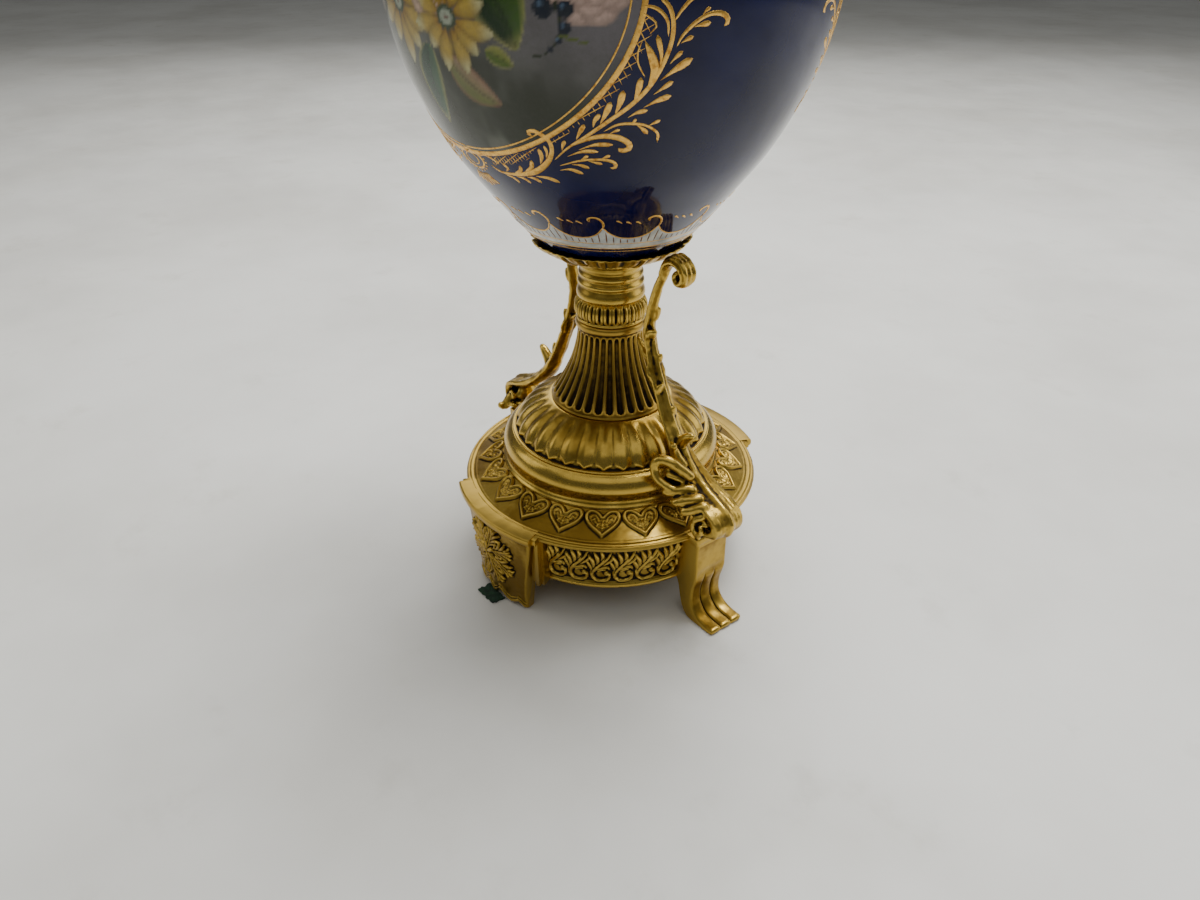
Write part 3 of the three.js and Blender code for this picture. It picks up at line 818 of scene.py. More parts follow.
def scroll_foot(name, facing):
    """A plain slab above and a reeded scroll below, ending in a rolled toe."""
    front = [(109.6, 66), (109.2, 52), (109.6, 40), (109.2, 33), (107.2, 25), (106.6, 18), (107.6, 12.5),
            (110.6, 8.2), (114.6, 5.4), (119.6, 4.2), (124.0, 4.0), (127.2, 3.9), (128.5, 2.8),
            (128.6, 1.4), (127.8, 0.0)]
    back = [(124, 0), (116, 0), (107.5, 0.0), (102.5, 1.6), (98.2, 6.4), (95.2, 13), (93.4, 21), (91.5, 26),
            (89.5, 30), (89.5, 48), (89.5, 66)]
    outer = even_points(front, 96)
    inner = curve_points(back, 40)
    across = np.linspace(-1, 1, 64)
    y = across * FOOT_WIDTH / 2
    run = run_along(outer)
    begins = np.interp(37.0, outer[::-1, 1], run[::-1])
    reed = smoothstep(begins - 1.5, begins + 5, run) * smoothstep(run[-1] + 1, run[-1] - 2.5, run)
    pitch = FOOT_WIDTH / 3
    in_reed = (y[:, None] + FOOT_WIDTH / 2) % pitch - pitch / 2
    arch = 1.7 * (np.sqrt(np.clip(1 - np.abs(in_reed / (pitch / 2)) ** 3, 0, 1)) - 1) * reed[None, :]
    corner = 1.2 * (bump(np.clip(np.abs(y) - FOOT_WIDTH / 2 + 1.3, 0, 1.3), 1.3) - 1)[:, None]
    scoop = -0.7 * smoothstep(begins - 7, begins - 2, run) * smoothstep(begins + 3, begins - 1, run)
    height = arch + corner * (1 - 0.4 * reed[None, :]) + scoop[None, :] * (1 - np.abs(across)[:, None] ** 6)
    normal = -profile_normals(outer)
    r = outer[None, :, 0] + height * normal[None, :, 0]
    z = np.maximum(outer[None, :, 1] + height * normal[None, :, 1], 0.0)
    flare = 1 + 0.05 * smoothstep(14, 2, outer[:, 1])[None, :]
    side = y[:, None] * flare
    front_points = np.stack([r, side, z], axis=-1)
    inner_r = np.broadcast_to(inner[:, 0], (len(y), len(inner)))
    inner_side = y[:, None] * (1 + 0.05 * smoothstep(14, 2, inner[:, 1])[None, :])
    back_points = np.stack([inner_r, inner_side, np.broadcast_to(inner[:, 1], inner_r.shape)], axis=-1)
    loops = np.concatenate([front_points, back_points], axis=1)
    slab = skin(name + "_slab", loops)
    shelf_section = [(89.5, 65.6), (110.4, 65.6), (111.0, 66.4), (111.0, 70.0), (110.2, 71.2), (89.5, 71.2)]
    shelf_y = np.array([-16, -15.4, -12, 0, 12, 15.4, 16.0])
    inset = np.array([0.8, 0, 0, 0, 0, 0, 0.8])
    shelf = [[(min(sr, 111.0 - e), sy, sz) for sr, sz in shelf_section] for sy, e in zip(shelf_y, inset)]
    piece = join([slab, skin(name + "_shelf", shelf)], name)
    piece.data.transform(Matrix.Rotation(math.radians(facing - 90), 4, "Z"))
    return cast(piece, (9, 2.2), (0.12, 0.04), 41, (14, 0.6), PLINTH_BRASS, "base_plinth",
            sharp=50, bounded=True)


def keep_inside(piece):
    """Keeps a piece on the floor and within the urn's overall width."""
    points = mesh_points(piece)
    points[:, 2] = np.maximum(points[:, 2], FLOOR_GAP)
    points[:, 0] = np.clip(points[:, 0], -TOE_R, TOE_R)
    set_points(piece, points)


# ------------------------------------------------------------------ turned and gadrooned members
def turned_ring(name, profile, node, material, steps=192, grain=0.05):
    """A turned member that closes on the axis at both ends, or on itself when it is a ring."""
    piece = revolve(name, full_turn(steps), profile)
    return cast(piece, (14, 3), (grain * 2, grain * 0.4), 5, (16, 0.6), material, node)


def torus():
    """The plain polished ring on the plinth."""
    outer = curve_points([(77.4, 81.9), (76.9, 83.0), (75.6, 84.4), (75.0, 87.0), (75.9, 90.2),
            (76.5, 93.4), (76.0, 96.6), (74.6, 99.8), (72.6, 102.2), (70.6, 103.6), (70.0, 104.0)], 64)
    profile = np.vstack([[(50, 81.9), (64, 81.9)], outer, [(60, 104.0), (50, 104.0), (50, 92)]])
    return turned_ring("base_torus_ring", profile, "base_torus", TURNED_BRASS, 180, 0.02)


def gadroons():
    """Convex lobes with round lower ends above a thin flat band."""
    crown = curve_points([(67.6, 106.1), (66.0, 109.6), (63.0, 114.6), (58.8, 119.2), (54.0, 122.6),
            (48.5, 125.6), (44.0, 127.4), (42.4, 127.9)], 52)
    foot = np.array([(50, 104.3), (64, 104.3), (69.4, 104.3), (69.8, 104.7), (69.8, 105.3), (69.3, 105.7),
            (68.2, 105.8)])
    close = np.array([(40.5, 128.0), (36, 128.0), (36, 116), (50, 110)])
    profile = np.vstack([foot, crown, close])
    angle, pitch, across = spokes(DOME_LOBES, 14, DOME_VALLEY)
    run = run_along(crown)
    width = crown[:, 0] * math.radians(pitch) / 2
    side = across[:, None] * width[None, :]
    start = np.maximum(width - run, 0)
    reach = np.sqrt(np.clip(width**2 - start**2, 0.05, None)) * 0.97
    share = np.clip(np.abs(side) / reach[None, :], 0, 1)
    lobe = 0.5 * np.sqrt(1 - share**2) + 0.25 * (1 + np.cos(np.pi * share))
    depth = 1.9 * (width / width[0]) * smoothstep(run[-1], run[-1] - 9, run)
    height = within_outline(depth[None, :] * (lobe - 1.0), len(foot), len(profile))
    piece = revolve("dome_gadroons", angle, profile, height)
    return cast(piece, (12, 2.0), (0.08, 0.015), 7, (14, 1.0), TURNED_BRASS, "gadrooned_dome")


def stem():
    """A trumpet stem with deep round-ended flutes between a plain foot and a plain ring."""
    body = curve_points([(41.0, 129.8), (39.4, 132.4), (35.2, 138.8), (30.6, 147.6), (27.4, 154.8),
            (24.8, 163.0), (22.9, 172.0), (22.1, 179.4)], 70)
    foot = np.array([(30, 128.3), (40.6, 128.3), (41.3, 128.7), (41.3, 129.4)])
    ring = np.array([(22.0, 180.0), (22.3, 180.5), (23.3, 181.0), (23.7, 182.0), (23.7, 184.2),
            (23.2, 185.3), (22.4, 185.9), (14, 186.0), (14, 160), (22, 140)])
    profile = np.vstack([foot, body, ring])
    angle, pitch, across = spokes(FLUTES, 14)
    run = run_along(body)
    half = body[:, 0] * math.radians(pitch) / 2
    side = across[:, None] * half[None, :]
    flute = 0.72 * half
    low_end = 2.4
    end_fall = np.clip((low_end + flute - run) / flute, 0, 1)
    top_fall = np.clip((run - (run[-1] - 1.0 - flute)) / flute, 0, 1)
    reach = flute * np.sqrt(np.clip(1 - np.maximum(end_fall, top_fall) ** 2, 0.0, 1))
    cut = np.sqrt(np.clip(1 - (side / np.maximum(reach, 1e-3)[None, :]) ** 2, 0, 1))
    cut = np.where(reach[None, :] > 0.05, cut, 0)
    depth = 0.85 * flute + 0.4
    height = within_outline(-depth[None, :] * cut, len(foot), len(profile))
    piece = revolve("stem_flutes", angle, profile, height)
    return cast(piece, (9, 1.6), (0.08, 0.02), 9, (16, 0.5), STEM_BRASS, "fluted_stem")


def knop_bead():
    """A flattened bead cut by deep upright slots between two plain rims."""
    body = curve_points([(22.6, 188.6), (23.8, 190.0), (24.5, 192.2), (24.6, 194.6), (24.2, 197.0),
            (23.0, 199.6), (21.4, 201.0)], 32)
    foot = np.array([(14, 186.3), (21.8, 186.3), (23.0, 186.7), (23.3, 187.4), (23.0, 188.1)])
    top = np.array([(20.6, 201.4), (14, 201.4), (14, 196)])
    profile = np.vstack([foot, body, top])
    angle, pitch, across = spokes(KNOP_SLOTS, 14)
    run = run_along(body)
    half = body[:, 0] * math.radians(pitch) / 2
    side = across[:, None] * half[None, :]
    middle = (run / run[-1] - 0.5) * 2
    reach = 0.34 * half * np.sqrt(np.clip(1 - np.abs(middle / 0.99) ** 6, 0, 1))
    slot = smoothstep(1.15, 0.6, np.abs(side) / np.maximum(reach, 1e-3)[None, :])
    slot = np.where(reach[None, :] > 0.03, slot, 0)
    swell = 0.8 * (np.sqrt(np.clip(1 - (side / half[None, :]) ** 2, 0, 1)) - 1)
    height = within_outline(-2.2 * slot + swell, len(foot), len(profile))
    piece = revolve("knop_slots", angle, profile, height)
    return cast(piece, (9, 1.6), (0.08, 0.03), 13, (14, 0.5), CARVED_BRASS, "knop")


def collar():
    """The turned neck under the cup: a cove, three fine ribs and a rounded ring."""
    outer = polyline([(21.8, 201.9), (22.5, 203.0), (22.7, 204.8), (22.3, 206.8), (21.3, 208.8),
            (20.8, 210.0), (21.4, 210.8), (22.0, 211.8), (21.8, 213.2), (20.8, 214.4), (20.3, 215.4),
            (20.9, 216.4), (21.4, 217.6), (21.2, 218.8), (20.3, 220.0), (20.0, 221.2), (20.6, 222.4),
            (20.9, 223.6), (20.7, 224.8), (21.4, 226.0), (22.0, 227.2), (21.6, 228.4), (21.0, 229.0)], 0.55)
    profile = np.vstack([[(12, 201.9), (17, 201.9)], soften(outer, 2), [(17, 229.0), (12, 229.0),
            (12, 217)]])
    return turned_ring("collar_rings", profile, "turned_collar", TURNED_BRASS, 120, 0.03)


def leaf_cup():
    """The shallow cup of leaves under the porcelain, its rim broken into leaf tips."""
    outer = curve_points([(21.6, 229.5), (27.0, 230.2), (34.4, 232.0), (40.5, 234.6), (45.4, 237.4),
            (49.4, 240.6), (51.7, 243.3)], 40)
    normal = profile_normals(outer)
    angle, _, across = spokes(CUP_LEAVES, 22)
    steps = len(angle)
    t = np.linspace(0, 1, len(outer))
    notch = 0.14 * np.abs(across) ** 2.2 + 0.05 * (1 - np.cos(across * 3 * np.pi)) / 2
    reach = t[None, :] * (1 - notch[:, None])
    radius = np.interp(reach, t, outer[:, 0])
    z = np.interp(reach, t, outer[:, 1])
    side = np.abs(across)[:, None]
    leafy = smoothstep(0.12, 0.4, t)[None, :]
    rib = 0.8 * bump(side, 0.16) + 0.5 * np.cos(across * 5 * np.pi)[:, None] * 0.5
    valley = -1.1 * bump(side - 1.0, 0.22)
    height = leafy * (rib * (1 - 0.3 * t[None, :]) + valley)
    nr, nz = np.interp(reach, t, normal[:, 0]), np.interp(reach, t, normal[:, 1])
    curl = 0.6 * smoothstep(0.86, 1.0, t)[None, :] * (1 - side)
    radius = np.minimum(radius + (height + curl) * nr, CUP_R)
    z = z + height * nz
    rim_r, rim_z = radius[:, -1], z[:, -1]
    inner_r = np.column_stack([rim_r - 0.7, np.minimum(rim_r - 1.6, 49.6),
            np.full((steps, 4), [46.0, 42.0, 36.0, 28.0])])
    lower_body = body_line[body_line[:, 1] < 300]
    ledge = np.interp(inner_r, lower_body[:, 0], lower_body[:, 1], left=BODY_Z[0])
    inner_z = np.minimum(np.column_stack([rim_z + 0.3, rim_z + 0.1, np.full((steps, 4), 260.0)]),
            ledge - 0.5)
    inner_z = np.maximum(inner_z, 230.6)
    close_r = np.broadcast_to([14.0, 14.0], (steps, 2))
    close_z = np.broadcast_to([236.0, 229.5], (steps, 2))
    r = np.concatenate([radius, inner_r, close_r], axis=1)
    z = np.concatenate([z, inner_z, close_z], axis=1)
    turn = np.radians(angle)[:, None]
    points = around(r, turn, z)
    faces = [grid_faces(steps, r.shape[1], wrap_rows=True, wrap_columns=True)]
    piece = make_piece("cup_leaves", points.reshape(-1, 3), faces)
    return cast(piece, (6, 1.4), (0.16, 0.06), 17, (12, 0.5), CARVED_BRASS, "leaf_cup")


# ------------------------------------------------------------------ acanthus brackets
BRACKET_VOXEL = 0.00082
FOOT_EDGE_R = 113.0
FOOT_TOP = 71.7


def unit(vectors):
    return vectors / np.maximum(np.linalg.norm(vectors, axis=-1, keepdims=True), 1e-9)


def round_end(distance, width, thinnest, least):
    """How full a bar is at a distance from its round end; least keeps it from vanishing there."""
    return np.sqrt(np.clip(1 - (1 - np.clip(distance / np.maximum(width, thinnest), 0, 1)) ** 2, least, 1))


def limb(path, widths, thick=None, upright=(0, 1, 0), steps=None, sides=10):
    """A closed tapering bar along a smooth 3-D path.

    widths are half-widths along upright, and thick the half-widths across it."""
    length = np.linalg.norm(np.diff(np.asarray(path, float), axis=0), axis=1).sum()
    steps = steps or int(max(6, length / 1.6))
    centre = even_points(path, steps)
    along = unit(np.gradient(centre, axis=0))
    wide = np.asarray(upright, float) - (along @ np.asarray(upright, float))[:, None] * along
    wide = unit(wide)
    deep = np.cross(along, wide)
    share = np.linspace(0, 1, steps)
    width = np.interp(share, np.linspace(0, 1, len(widths)), widths)
    thick = widths if thick is None else thick
    depth = np.interp(share, np.linspace(0, 1, len(thick)), thick)
    cap = round_end(share * length, width, 0.3, 0.02)
    cap *= round_end((1 - share) * length, width, 0.3, 0.02)
    turn = np.linspace(0, 2 * np.pi, sides, endpoint=False)
    loops = (
        centre[:, None, :]
        + np.cos(turn)[None, :, None] * (width * cap)[:, None, None] * wide[:, None, :]
        + np.sin(turn)[None, :, None] * (depth * cap)[:, None, None] * deep[:, None, :]
    )
    return skin("limb", loops)


def both_sides(path):
    """The path and its mirror image across the bracket's middle plane."""
    return [path, [(r, -y, z) for r, y, z in path]]


LEAF_SPINE = [(62, 131), (73.5, 116), (84, 105.0), (94, 97.8), (103, 93.2), (111, 90.4), (117.4, 87.2),
        (120.2, 82.4), (118.6, 77.8), (113.8, 76.2)]
LEAF_WIDTHS = [4.2, 6.6, 8.8, 10.4, 11.4, 11.8, 11.6, 11.2, 10.6, 9.6]


def leaf_ridge(share, lift):
    """A line along the top of the leaf, a share (-1 to 1) of its half-width off the middle."""
    spine = np.array(LEAF_SPINE, float)
    along = unit(np.gradient(spine, axis=0))
    out = np.stack([-along[:, 1], along[:, 0]], axis=1)
    raised = spine + out * (lift * (1 - 0.45 * share**2))
    return [(r, share * width, z) for (r, z), width in zip(raised, LEAF_WIDTHS)]


def bracket_limbs(curl_side, fingered):
    """Every stalk, rib, finger and curl of one bracket, in (radius, sideways, height)."""
    limbs = []

    def add(path, widths, thick=None, upright=(0, 1, 0), mirrored=False):
        for one in both_sides(path) if mirrored else [path]:
            limbs.append(limb(one, widths, thick, upright))

    def flat(points):
        return [(r, 0, z) for r, z in points]

    def sided(points, sense=1):
        return [(r, sense * curl_side * y, z) for r, y, z in points]

    # stalk, from the cup's volute down to the leaf
    stalk = flat([(53, 233.5), (49.2, 226), (46.0, 219.5), (42.6, 209), (40.6, 200), (39.6, 192),
            (41.2, 182), (43.4, 174), (48.6, 161.5), (55, 148), (61.5, 135), (70, 122), (80, 110)])
    add(stalk, [3.6, 3.6, 3.4, 3.2, 3.4, 3.8, 4.2, 4.8, 5.4, 6.4, 7.4], [2.8, 2.6, 2.4, 2.6, 2.8, 3.2, 3.6,
            3.8])
    add([(r + 2.3, 0.5, z + 1.0) for r, _, z in stalk], [1.3, 1.5, 1.6, 1.7, 1.8, 2.1],
            [1.5, 1.6, 1.8, 2.1])
    for side in (-1, 1):
        edge = [(r + 0.2, side * (2.8 + 0.026 * (215 - z)), z) for r, _, z in stalk[2:]]
        add(edge, [1.1, 1.4, 1.6, 1.9, 1.9], [1.5, 1.7, 1.9, 2.0])
    # volute at the top, rolled outwards under the cup
    volute = flat([(50.4, 227), (52.4, 234.0), (56.2, 239.4), (62.0, 242.2), (68.0, 241.2), (71.6, 237.0),
            (71.0, 231.8), (67.2, 229.6), (64.0, 232.0), (64.8, 235.8), (67.6, 236.2)])
    add(volute, [3.8, 4.4, 5.2, 5.8, 6.0, 5.8, 5.4, 5.2, 5.0], [2.7, 2.7, 2.8, 3.0, 3.0, 2.8, 2.5, 2.2])
    for y in (-3.4, 0, 3.4):
        rim = [(52.2, y * 0.7, 237.0), (56.4, y * 0.8, 242.0), (62.4, y, 244.9), (69.6, y, 243.4),
                (74.0, y, 237.4), (73.0, y * 0.9, 230.6)]
        add(rim, [1.0, 1.4, 1.7, 1.7, 1.6, 1.0])
    # buds and sheaths that grow up the stalk, first on one side and then on the other
    for k, (z, r) in enumerate(((203, 41.6), (189, 40.4), (172, 44.6), (155, 52.0), (140, 59.4))):
        y = 2.0 * (-1) ** k
        grow = 1 + 0.13 * k
        add([(r + 1.0, y, z - 7), (r + 2.2, y * 1.5, z - 1), (r + 4.4, y * 1.3, z + 4)],
            [1.4 * grow, 2.3 * grow, 1.2], [1.2, 1.7 * grow, 1.1])
    add([(43.6, -1, 185.5), (45.6, -1.6, 190), (47.6, -2.0, 193.4)], [2.4, 2.7, 1.8])
    # small leaf touching the stem
    add([(44.6, 0, 168), (39.0, 0, 172), (33.0, 0, 176.8), (27.6, 0, 181.4)], [2.6, 4.0, 3.2, 1.0],
            [1.8, 1.7, 1.4, 0.9])
    add([(50.4, 3.4, 156), (47.6, 5.2, 163), (44.6, 5.6, 169)], [2.0, 2.6, 1.2], [1.7, 1.7, 1.1],
            mirrored=True)
    # spike and upper curled finger; the lobes and fingers all grow on one side of the leaf
    add(flat([(70, 116), (74.0, 121.5), (77.8, 126.4), (82.4, 131.0), (86.0, 132.6)]),
            [4.6, 4.4, 4.0, 3.2, 1.8], [4.6, 4.4, 3.8, 3.0, 1.8])
    if fingered:
        add(sided([(84, 3.6, 108), (79.4, 6.8, 115), (76.8, 9.0, 122), (78.8, 10.0, 127)]),
                [3.6, 3.8, 3.2, 1.9])
    # the leaf's body and the ridges that run over its roll
    add(flat(LEAF_SPINE), LEAF_WIDTHS, [3.4, 3.6, 3.6, 3.4, 3.4, 3.6, 3.8, 3.6, 3.2, 2.6])
    add(leaf_ridge(0, 3.6), [2.4, 2.8, 2.9, 2.8, 2.6, 2.0])
    for share in (0.26, 0.5, 0.73, 0.94):
        add(leaf_ridge(share, 2.7)[1:], [1.3, 1.8, 2.0, 2.0, 1.9, 1.5], None, mirrored=True)
    # the roll's open ends
    add([(112, 7.4, 90.4), (117.6, 9.6, 87.0), (120.0, 10.8, 82.0), (117.0, 11.6, 77.6),
            (112.0, 11.8, 77.2), (109.8, 11.8, 81.0), (112.4, 11.8, 84.0), (115.4, 11.6, 82.2)],
            [2.8, 2.8, 2.7, 2.5, 2.3, 2.1, 1.8, 1.5], None, mirrored=True)
    if fingered:
        # the big hollow lobe, with nested ridges
        add(sided([(92, 7, 105), (85.0, 13.6, 108.0), (79.4, 19.0, 110.6)]), [8.0, 9.2, 7.6],
                [2.8, 2.6, 2.2], (0.5, -0.2 * curl_side, 0.85))
        add(sided([(94, 6, 106), (87.4, 12.4, 113.6), (81.8, 17.6, 118.6), (77.0, 21.4, 118.2),
                (75.2, 23.4, 112.6), (78.2, 23.4, 106.2), (85, 20.0, 101.6), (93, 13.6, 99.0)]),
                [3.2, 3.6, 3.8, 3.6, 3.3, 3.2, 3.2, 3.0])
        add(sided([(92, 7.6, 107.6), (86.6, 13.2, 112.0), (82.4, 17.4, 114.2)]), [1.4, 1.9, 1.5])
        add(sided([(92, 11.0, 104.6), (86.6, 16.2, 108.2), (82.2, 20.4, 110.0)]), [1.4, 1.9, 1.5])
        # blunt fingers lower down, side by side
        add(sided([(99, 6, 100.4), (92.6, 13.4, 100.2), (86.6, 19.4, 98.4), (82.0, 23.0, 97.6)]),
                [3.8, 4.2, 3.8, 2.6])
        add(sided([(105, 6, 97), (100.0, 12.8, 96.6), (94.6, 18.8, 94.4), (90.4, 22.2, 92.4)]),
                [3.6, 4.1, 3.8, 2.7])
        add(sided([(110, 6, 94.6), (106.0, 12.0, 93.0), (101.2, 17.4, 90.2), (97.4, 20.4, 88.0)]),
                [3.4, 3.8, 3.5, 2.5])
        # the ring curl at one side of the foot's top
        add(sided([(110.6, 9.0, 89.0), (109.4, 12.8, 88.0), (106.8, 15.2, 85.4), (105.4, 15.8, 81.0),
                (106.6, 15.8, 77.2), (110.2, 15.8, 76.2), (113.0, 15.6, 78.8), (112.0, 15.2, 82.4),
                (109.6, 15.0, 82.2)]), [2.8, 2.8, 2.6, 2.4, 2.3, 2.2, 2.0, 1.7, 1.4])
    else:
        add(sided([(112.4, 8, 81.0), (114.8, 12.0, 76.4), (116.6, 15.4, 71.8), (117.8, 18.2, 70.2),
                (117.6, 20.2, 72.2), (115.8, 20.0, 74.2)], -1), [4.8, 5.0, 4.6, 4.0, 3.2, 2.2])
    # rippled collar on the foot's top, and the seat behind the leaf
    for k in range(9):
        y = -15.2 + 3.8 * k
        r = 113.4 - 0.006 * y * y
        add([(r - 8, y * 0.9, 74.8), (r - 2.0, y, 74.4), (r + 1.2, y * 1.05, 72.3)], [2.0, 2.3, 1.4],
                [2.0, 2.0, 1.2])
    add([(104, -12.0, 74.8), (104, 0, 74.8), (104, 12.0, 74.8)], [2.8, 2.8, 2.8], [2.6, 2.6, 2.6],
            (0, 0, 1))
    add([(106.0, 0, 73.6), (108.0, 0, 80), (109.6, 0, 90)], [12.6, 10.6, 8.0], [4.0, 5.4, 5.0])
    return limbs


def bracket(name, node, facing, curl_side, fingered):
    """The limbs melted into one casting, its surface tooled and uneven."""
    piece = join(bracket_limbs(curl_side, fingered), name)
    melt = piece.modifiers.new("melt", "REMESH")
    melt.mode = "VOXEL"
    melt.voxel_size = BRACKET_VOXEL
    ease = piece.modifiers.new("ease", "SMOOTH")
    ease.factor = 0.6
    ease.iterations = 2
    bake_modifiers(piece)
    points = mesh_points(piece)
    normals = vertex_normals(piece)
    tooled = noise(points, 5.2, 61) * 0.3 + noise(points, 2.3, 62) * 0.14
    points = points + tooled[:, None] * normals
    over_foot = np.hypot(points[:, 0], points[:, 1]) < FOOT_EDGE_R
    points[:, 2] = np.where(over_foot, np.maximum(points[:, 2], FOOT_TOP), points[:, 2])
    set_points(piece, points)
    piece.data.transform(Matrix.Rotation(math.radians(facing), 4, "Z"))
    mark_relief(piece, 14, 0.5)
    piece.data.shade_smooth()
    return finish_piece(piece, CARVED_BRASS, node)


def bake_modifiers(piece):
    """Applies a piece's modifiers to its mesh."""
    depsgraph = bpy.context.evaluated_depsgraph_get()
    mesh = bpy.data.meshes.new_from_object(piece.evaluated_get(depsgraph))
    old = piece.data
    piece.modifiers.clear()
    piece.data = mesh
    bpy.data.meshes.remove(old)


# ------------------------------------------------------------------ porcelain body
BODY_OUTLINE = [(33.6, 236.8), (40.6, 240.0), (47.4, 243.6), (55.4, 251.2), (63.3, 260.4), (80.5, 281.4),
        (95.9, 302.4), (109.8, 328.6), (119.8, 354.9), (125.0, 381.1), (125.95, 401.0), (124.0, 424.0),
        (118.6, 443.4), (109.6, 460.6), (97.6, 477.6), (83.4, 491.0), (69.6, 501.2), (57.6, 508.6),
        (49.8, 515.8), (45.2, 524.0), (43.0, 532.6), (43.4, 537.6), (44.0, 541.0)]
OUTSIDE_ROWS = (34, 138, 30)
WALL = 5.0
FRONT_ANGLE = 2.0
RESERVE_Z = 395.0
FRAME_HALF = (56.3, 84.8)
THIN_HALF = (53.5, 82.0)
MM_PER_DEGREE = 2.12

body_line = curve_points(BODY_OUTLINE, 700)
body_line = body_line[np.argsort(body_line[:, 1])]
body_slope = np.gradient(body_line[:, 0], body_line[:, 1])


def on_body(angle, z, lift=0.0):
    """Points on the porcelain at angles and heights, raised by lift, with the surface's normals."""
    angle, z = np.asarray(angle, float), np.asarray(z, float)
    radius = np.interp(z, body_line[:, 1], body_line[:, 0])
    slope = np.interp(z, body_line[:, 1], body_slope)
    out = 1 / np.sqrt(1 + slope**2)
    turn = np.radians(angle)
    r, up = radius + lift * out, z - lift * slope * out
    return around(r, turn, up), around(out, turn, -slope * out)


def spread(base, colour, mask):
    """Lays a colour, or one colour for each point, over the base where the mask says."""
    return base * (1 - mask[:, None]) + np.atleast_2d(colour) * mask[:, None]


def toward(first, second, share):
    """Colours a share of the way from the first to the second, for each point."""
    first = np.asarray(first)
    return first + (np.asarray(second) - first) * share[:, None]


def blade(points, base, tip, width, bend=0.0, blunt=0.7, soft=0.6):
    """A petal or leaf: a soft-edged mask, how far along it a point is, and how far across (-1 to 1)."""
    base, tip = np.asarray(base, float), np.asarray(tip, float)
    length = np.linalg.norm(tip - base)
    axis = (tip - base) / length
    rel = points - base
    along = rel @ axis / length
    side = rel @ np.array([-axis[1], axis[0]]) - 4 * bend * along * (1 - along)
    inner = np.clip(along, 0, 1)
    half = width * np.sin(np.pi * inner**blunt) ** 0.75 + 1e-6
    mask = smoothstep(half + soft, half - soft, np.abs(side)) * ((along > 0) & (along < 1))
    return mask, inner, np.clip(side / half, -1, 1)


def paint_petal(tint, points, base, tip, width, root, middle, end, bend=0.0):
    mask, along, across = blade(points, base, tip, width, bend, 1.25)
    edge, _, _ = blade(points, base, tip, width + 0.9, bend, 1.25, 0.8)
    tint = spread(tint, np.array(root) * 0.6, edge * 0.35)
    shade = toward(root, middle, smoothstep(0, 0.45, along))
    shade = toward(shade, end, smoothstep(0.55, 1.0, along))
    shade = shade * (1 - 0.35 * np.abs(across[:, None] - 0.25) ** 1.6)
    shade = shade * (1 - 0.1 * bump(across - 0.1, 0.14) * (along > 0.1))[:, None]
    return spread(tint, shade, mask)


def paint_leaf(tint, points, base, tip, width, dark, light, edge_colour, bend=0.0):
    mask, along, across = blade(points, base, tip, width, bend, 0.8, 1.0)
    patch = 0.5 + 0.5 * noise(np.column_stack([points, np.zeros(len(points))]), 9.0, 71)
    turn = smoothstep(-0.5, 0.9, across + 0.5 * patch - 0.25)
    shade = toward(dark, light, turn)
    rim = smoothstep(0.62, 1.0, np.abs(across)) * 0.7 + smoothstep(0.8, 1.0, along) * 0.6
    shade = toward(shade, edge_colour, np.clip(rim, 0, 1))
    shade = shade * (1 - bump(across, 0.1) * 0.35)[:, None]
    return spread(tint, shade, mask)


def paint_daisy(tint, points, centre, length, petals, squash=1.0, start=0.0, cup=(0, 0)):
    ochre, yellow, pale = linear(140, 104, 30), linear(176, 150, 66), linear(186, 182, 136)
    for k in range(petals):
        turn = math.radians(start + 360 * k / petals)
        reach = length * (1 + 0.12 * math.sin(2.3 * k + start))
        direction = np.array([math.cos(turn), math.sin(turn) * squash])
        base = np.array(centre) + direction * 4.0
        tip = np.array(centre) + direction * reach + np.array(cup)
        bend = 1.2 * math.sin(k * 1.7)
        tint = paint_petal(tint, points, base, tip, 0.19 * length, ochre, yellow, pale, bend)
    distance = np.linalg.norm((points - centre) / (1, 0.9), axis=1)
    tint = spread(tint, linear(58, 72, 50), smoothstep(6.6, 5.4, distance))
    tint = spread(tint, linear(150, 158, 140), smoothstep(4.6, 3.2, distance))
    return spread(tint, linear(96, 44, 40), smoothstep(1.6, 0.8, distance) * 0.8)


def paint_bloom(tint, points, centre, size, outer, inner, seed):
    """A full round bloom of overlapping petals, from the outside in."""
    for ring, (reach, petals) in enumerate(((1.0, 8), (0.78, 7), (0.56, 6), (0.36, 5), (0.18, 3))):
        for k in range(petals):
            turn = 2 * math.pi * (k / petals + 0.13 * ring) + seed
            middle = np.array(centre) + size * reach * 0.62 * np.array([math.cos(turn), math.sin(turn)])
            radius = size * (0.46 * reach + 0.1)
            distance = np.linalg.norm(points - middle, axis=1)
            mask = smoothstep(radius + 0.5, radius - 0.5, distance)
            outward = (points - np.array(centre)) @ np.array([math.cos(turn), math.sin(turn)]) / size
            blend = smoothstep(0.1 * reach, 0.95 * reach, outward)
            shade = toward(inner, outer, blend)
            shade = shade * (0.62 + 0.38 * smoothstep(radius, radius * 0.62, distance))[:, None]
            tint = spread(tint, shade, mask)
    return tint


def paint_berry(tint, points, centre, size):
    distance = np.linalg.norm(points - centre, axis=1)
    tint = spread(tint, linear(16, 26, 42), smoothstep(size + 0.4, size - 0.4, distance))
    glint = np.linalg.norm(points - np.array(centre) - (-0.3 * size, 0.35 * size), axis=1)
    return spread(tint, linear(88, 112, 140), smoothstep(0.45 * size, 0.1 * size, glint) * 0.7)


def paint_stem(tint, points, path, width, colour):
    lift = stroke(points, path, [width, width, width * 0.6], 1.0, 0.5, 16)
    return spread(tint, colour, np.clip(lift * 1.4, 0, 1))


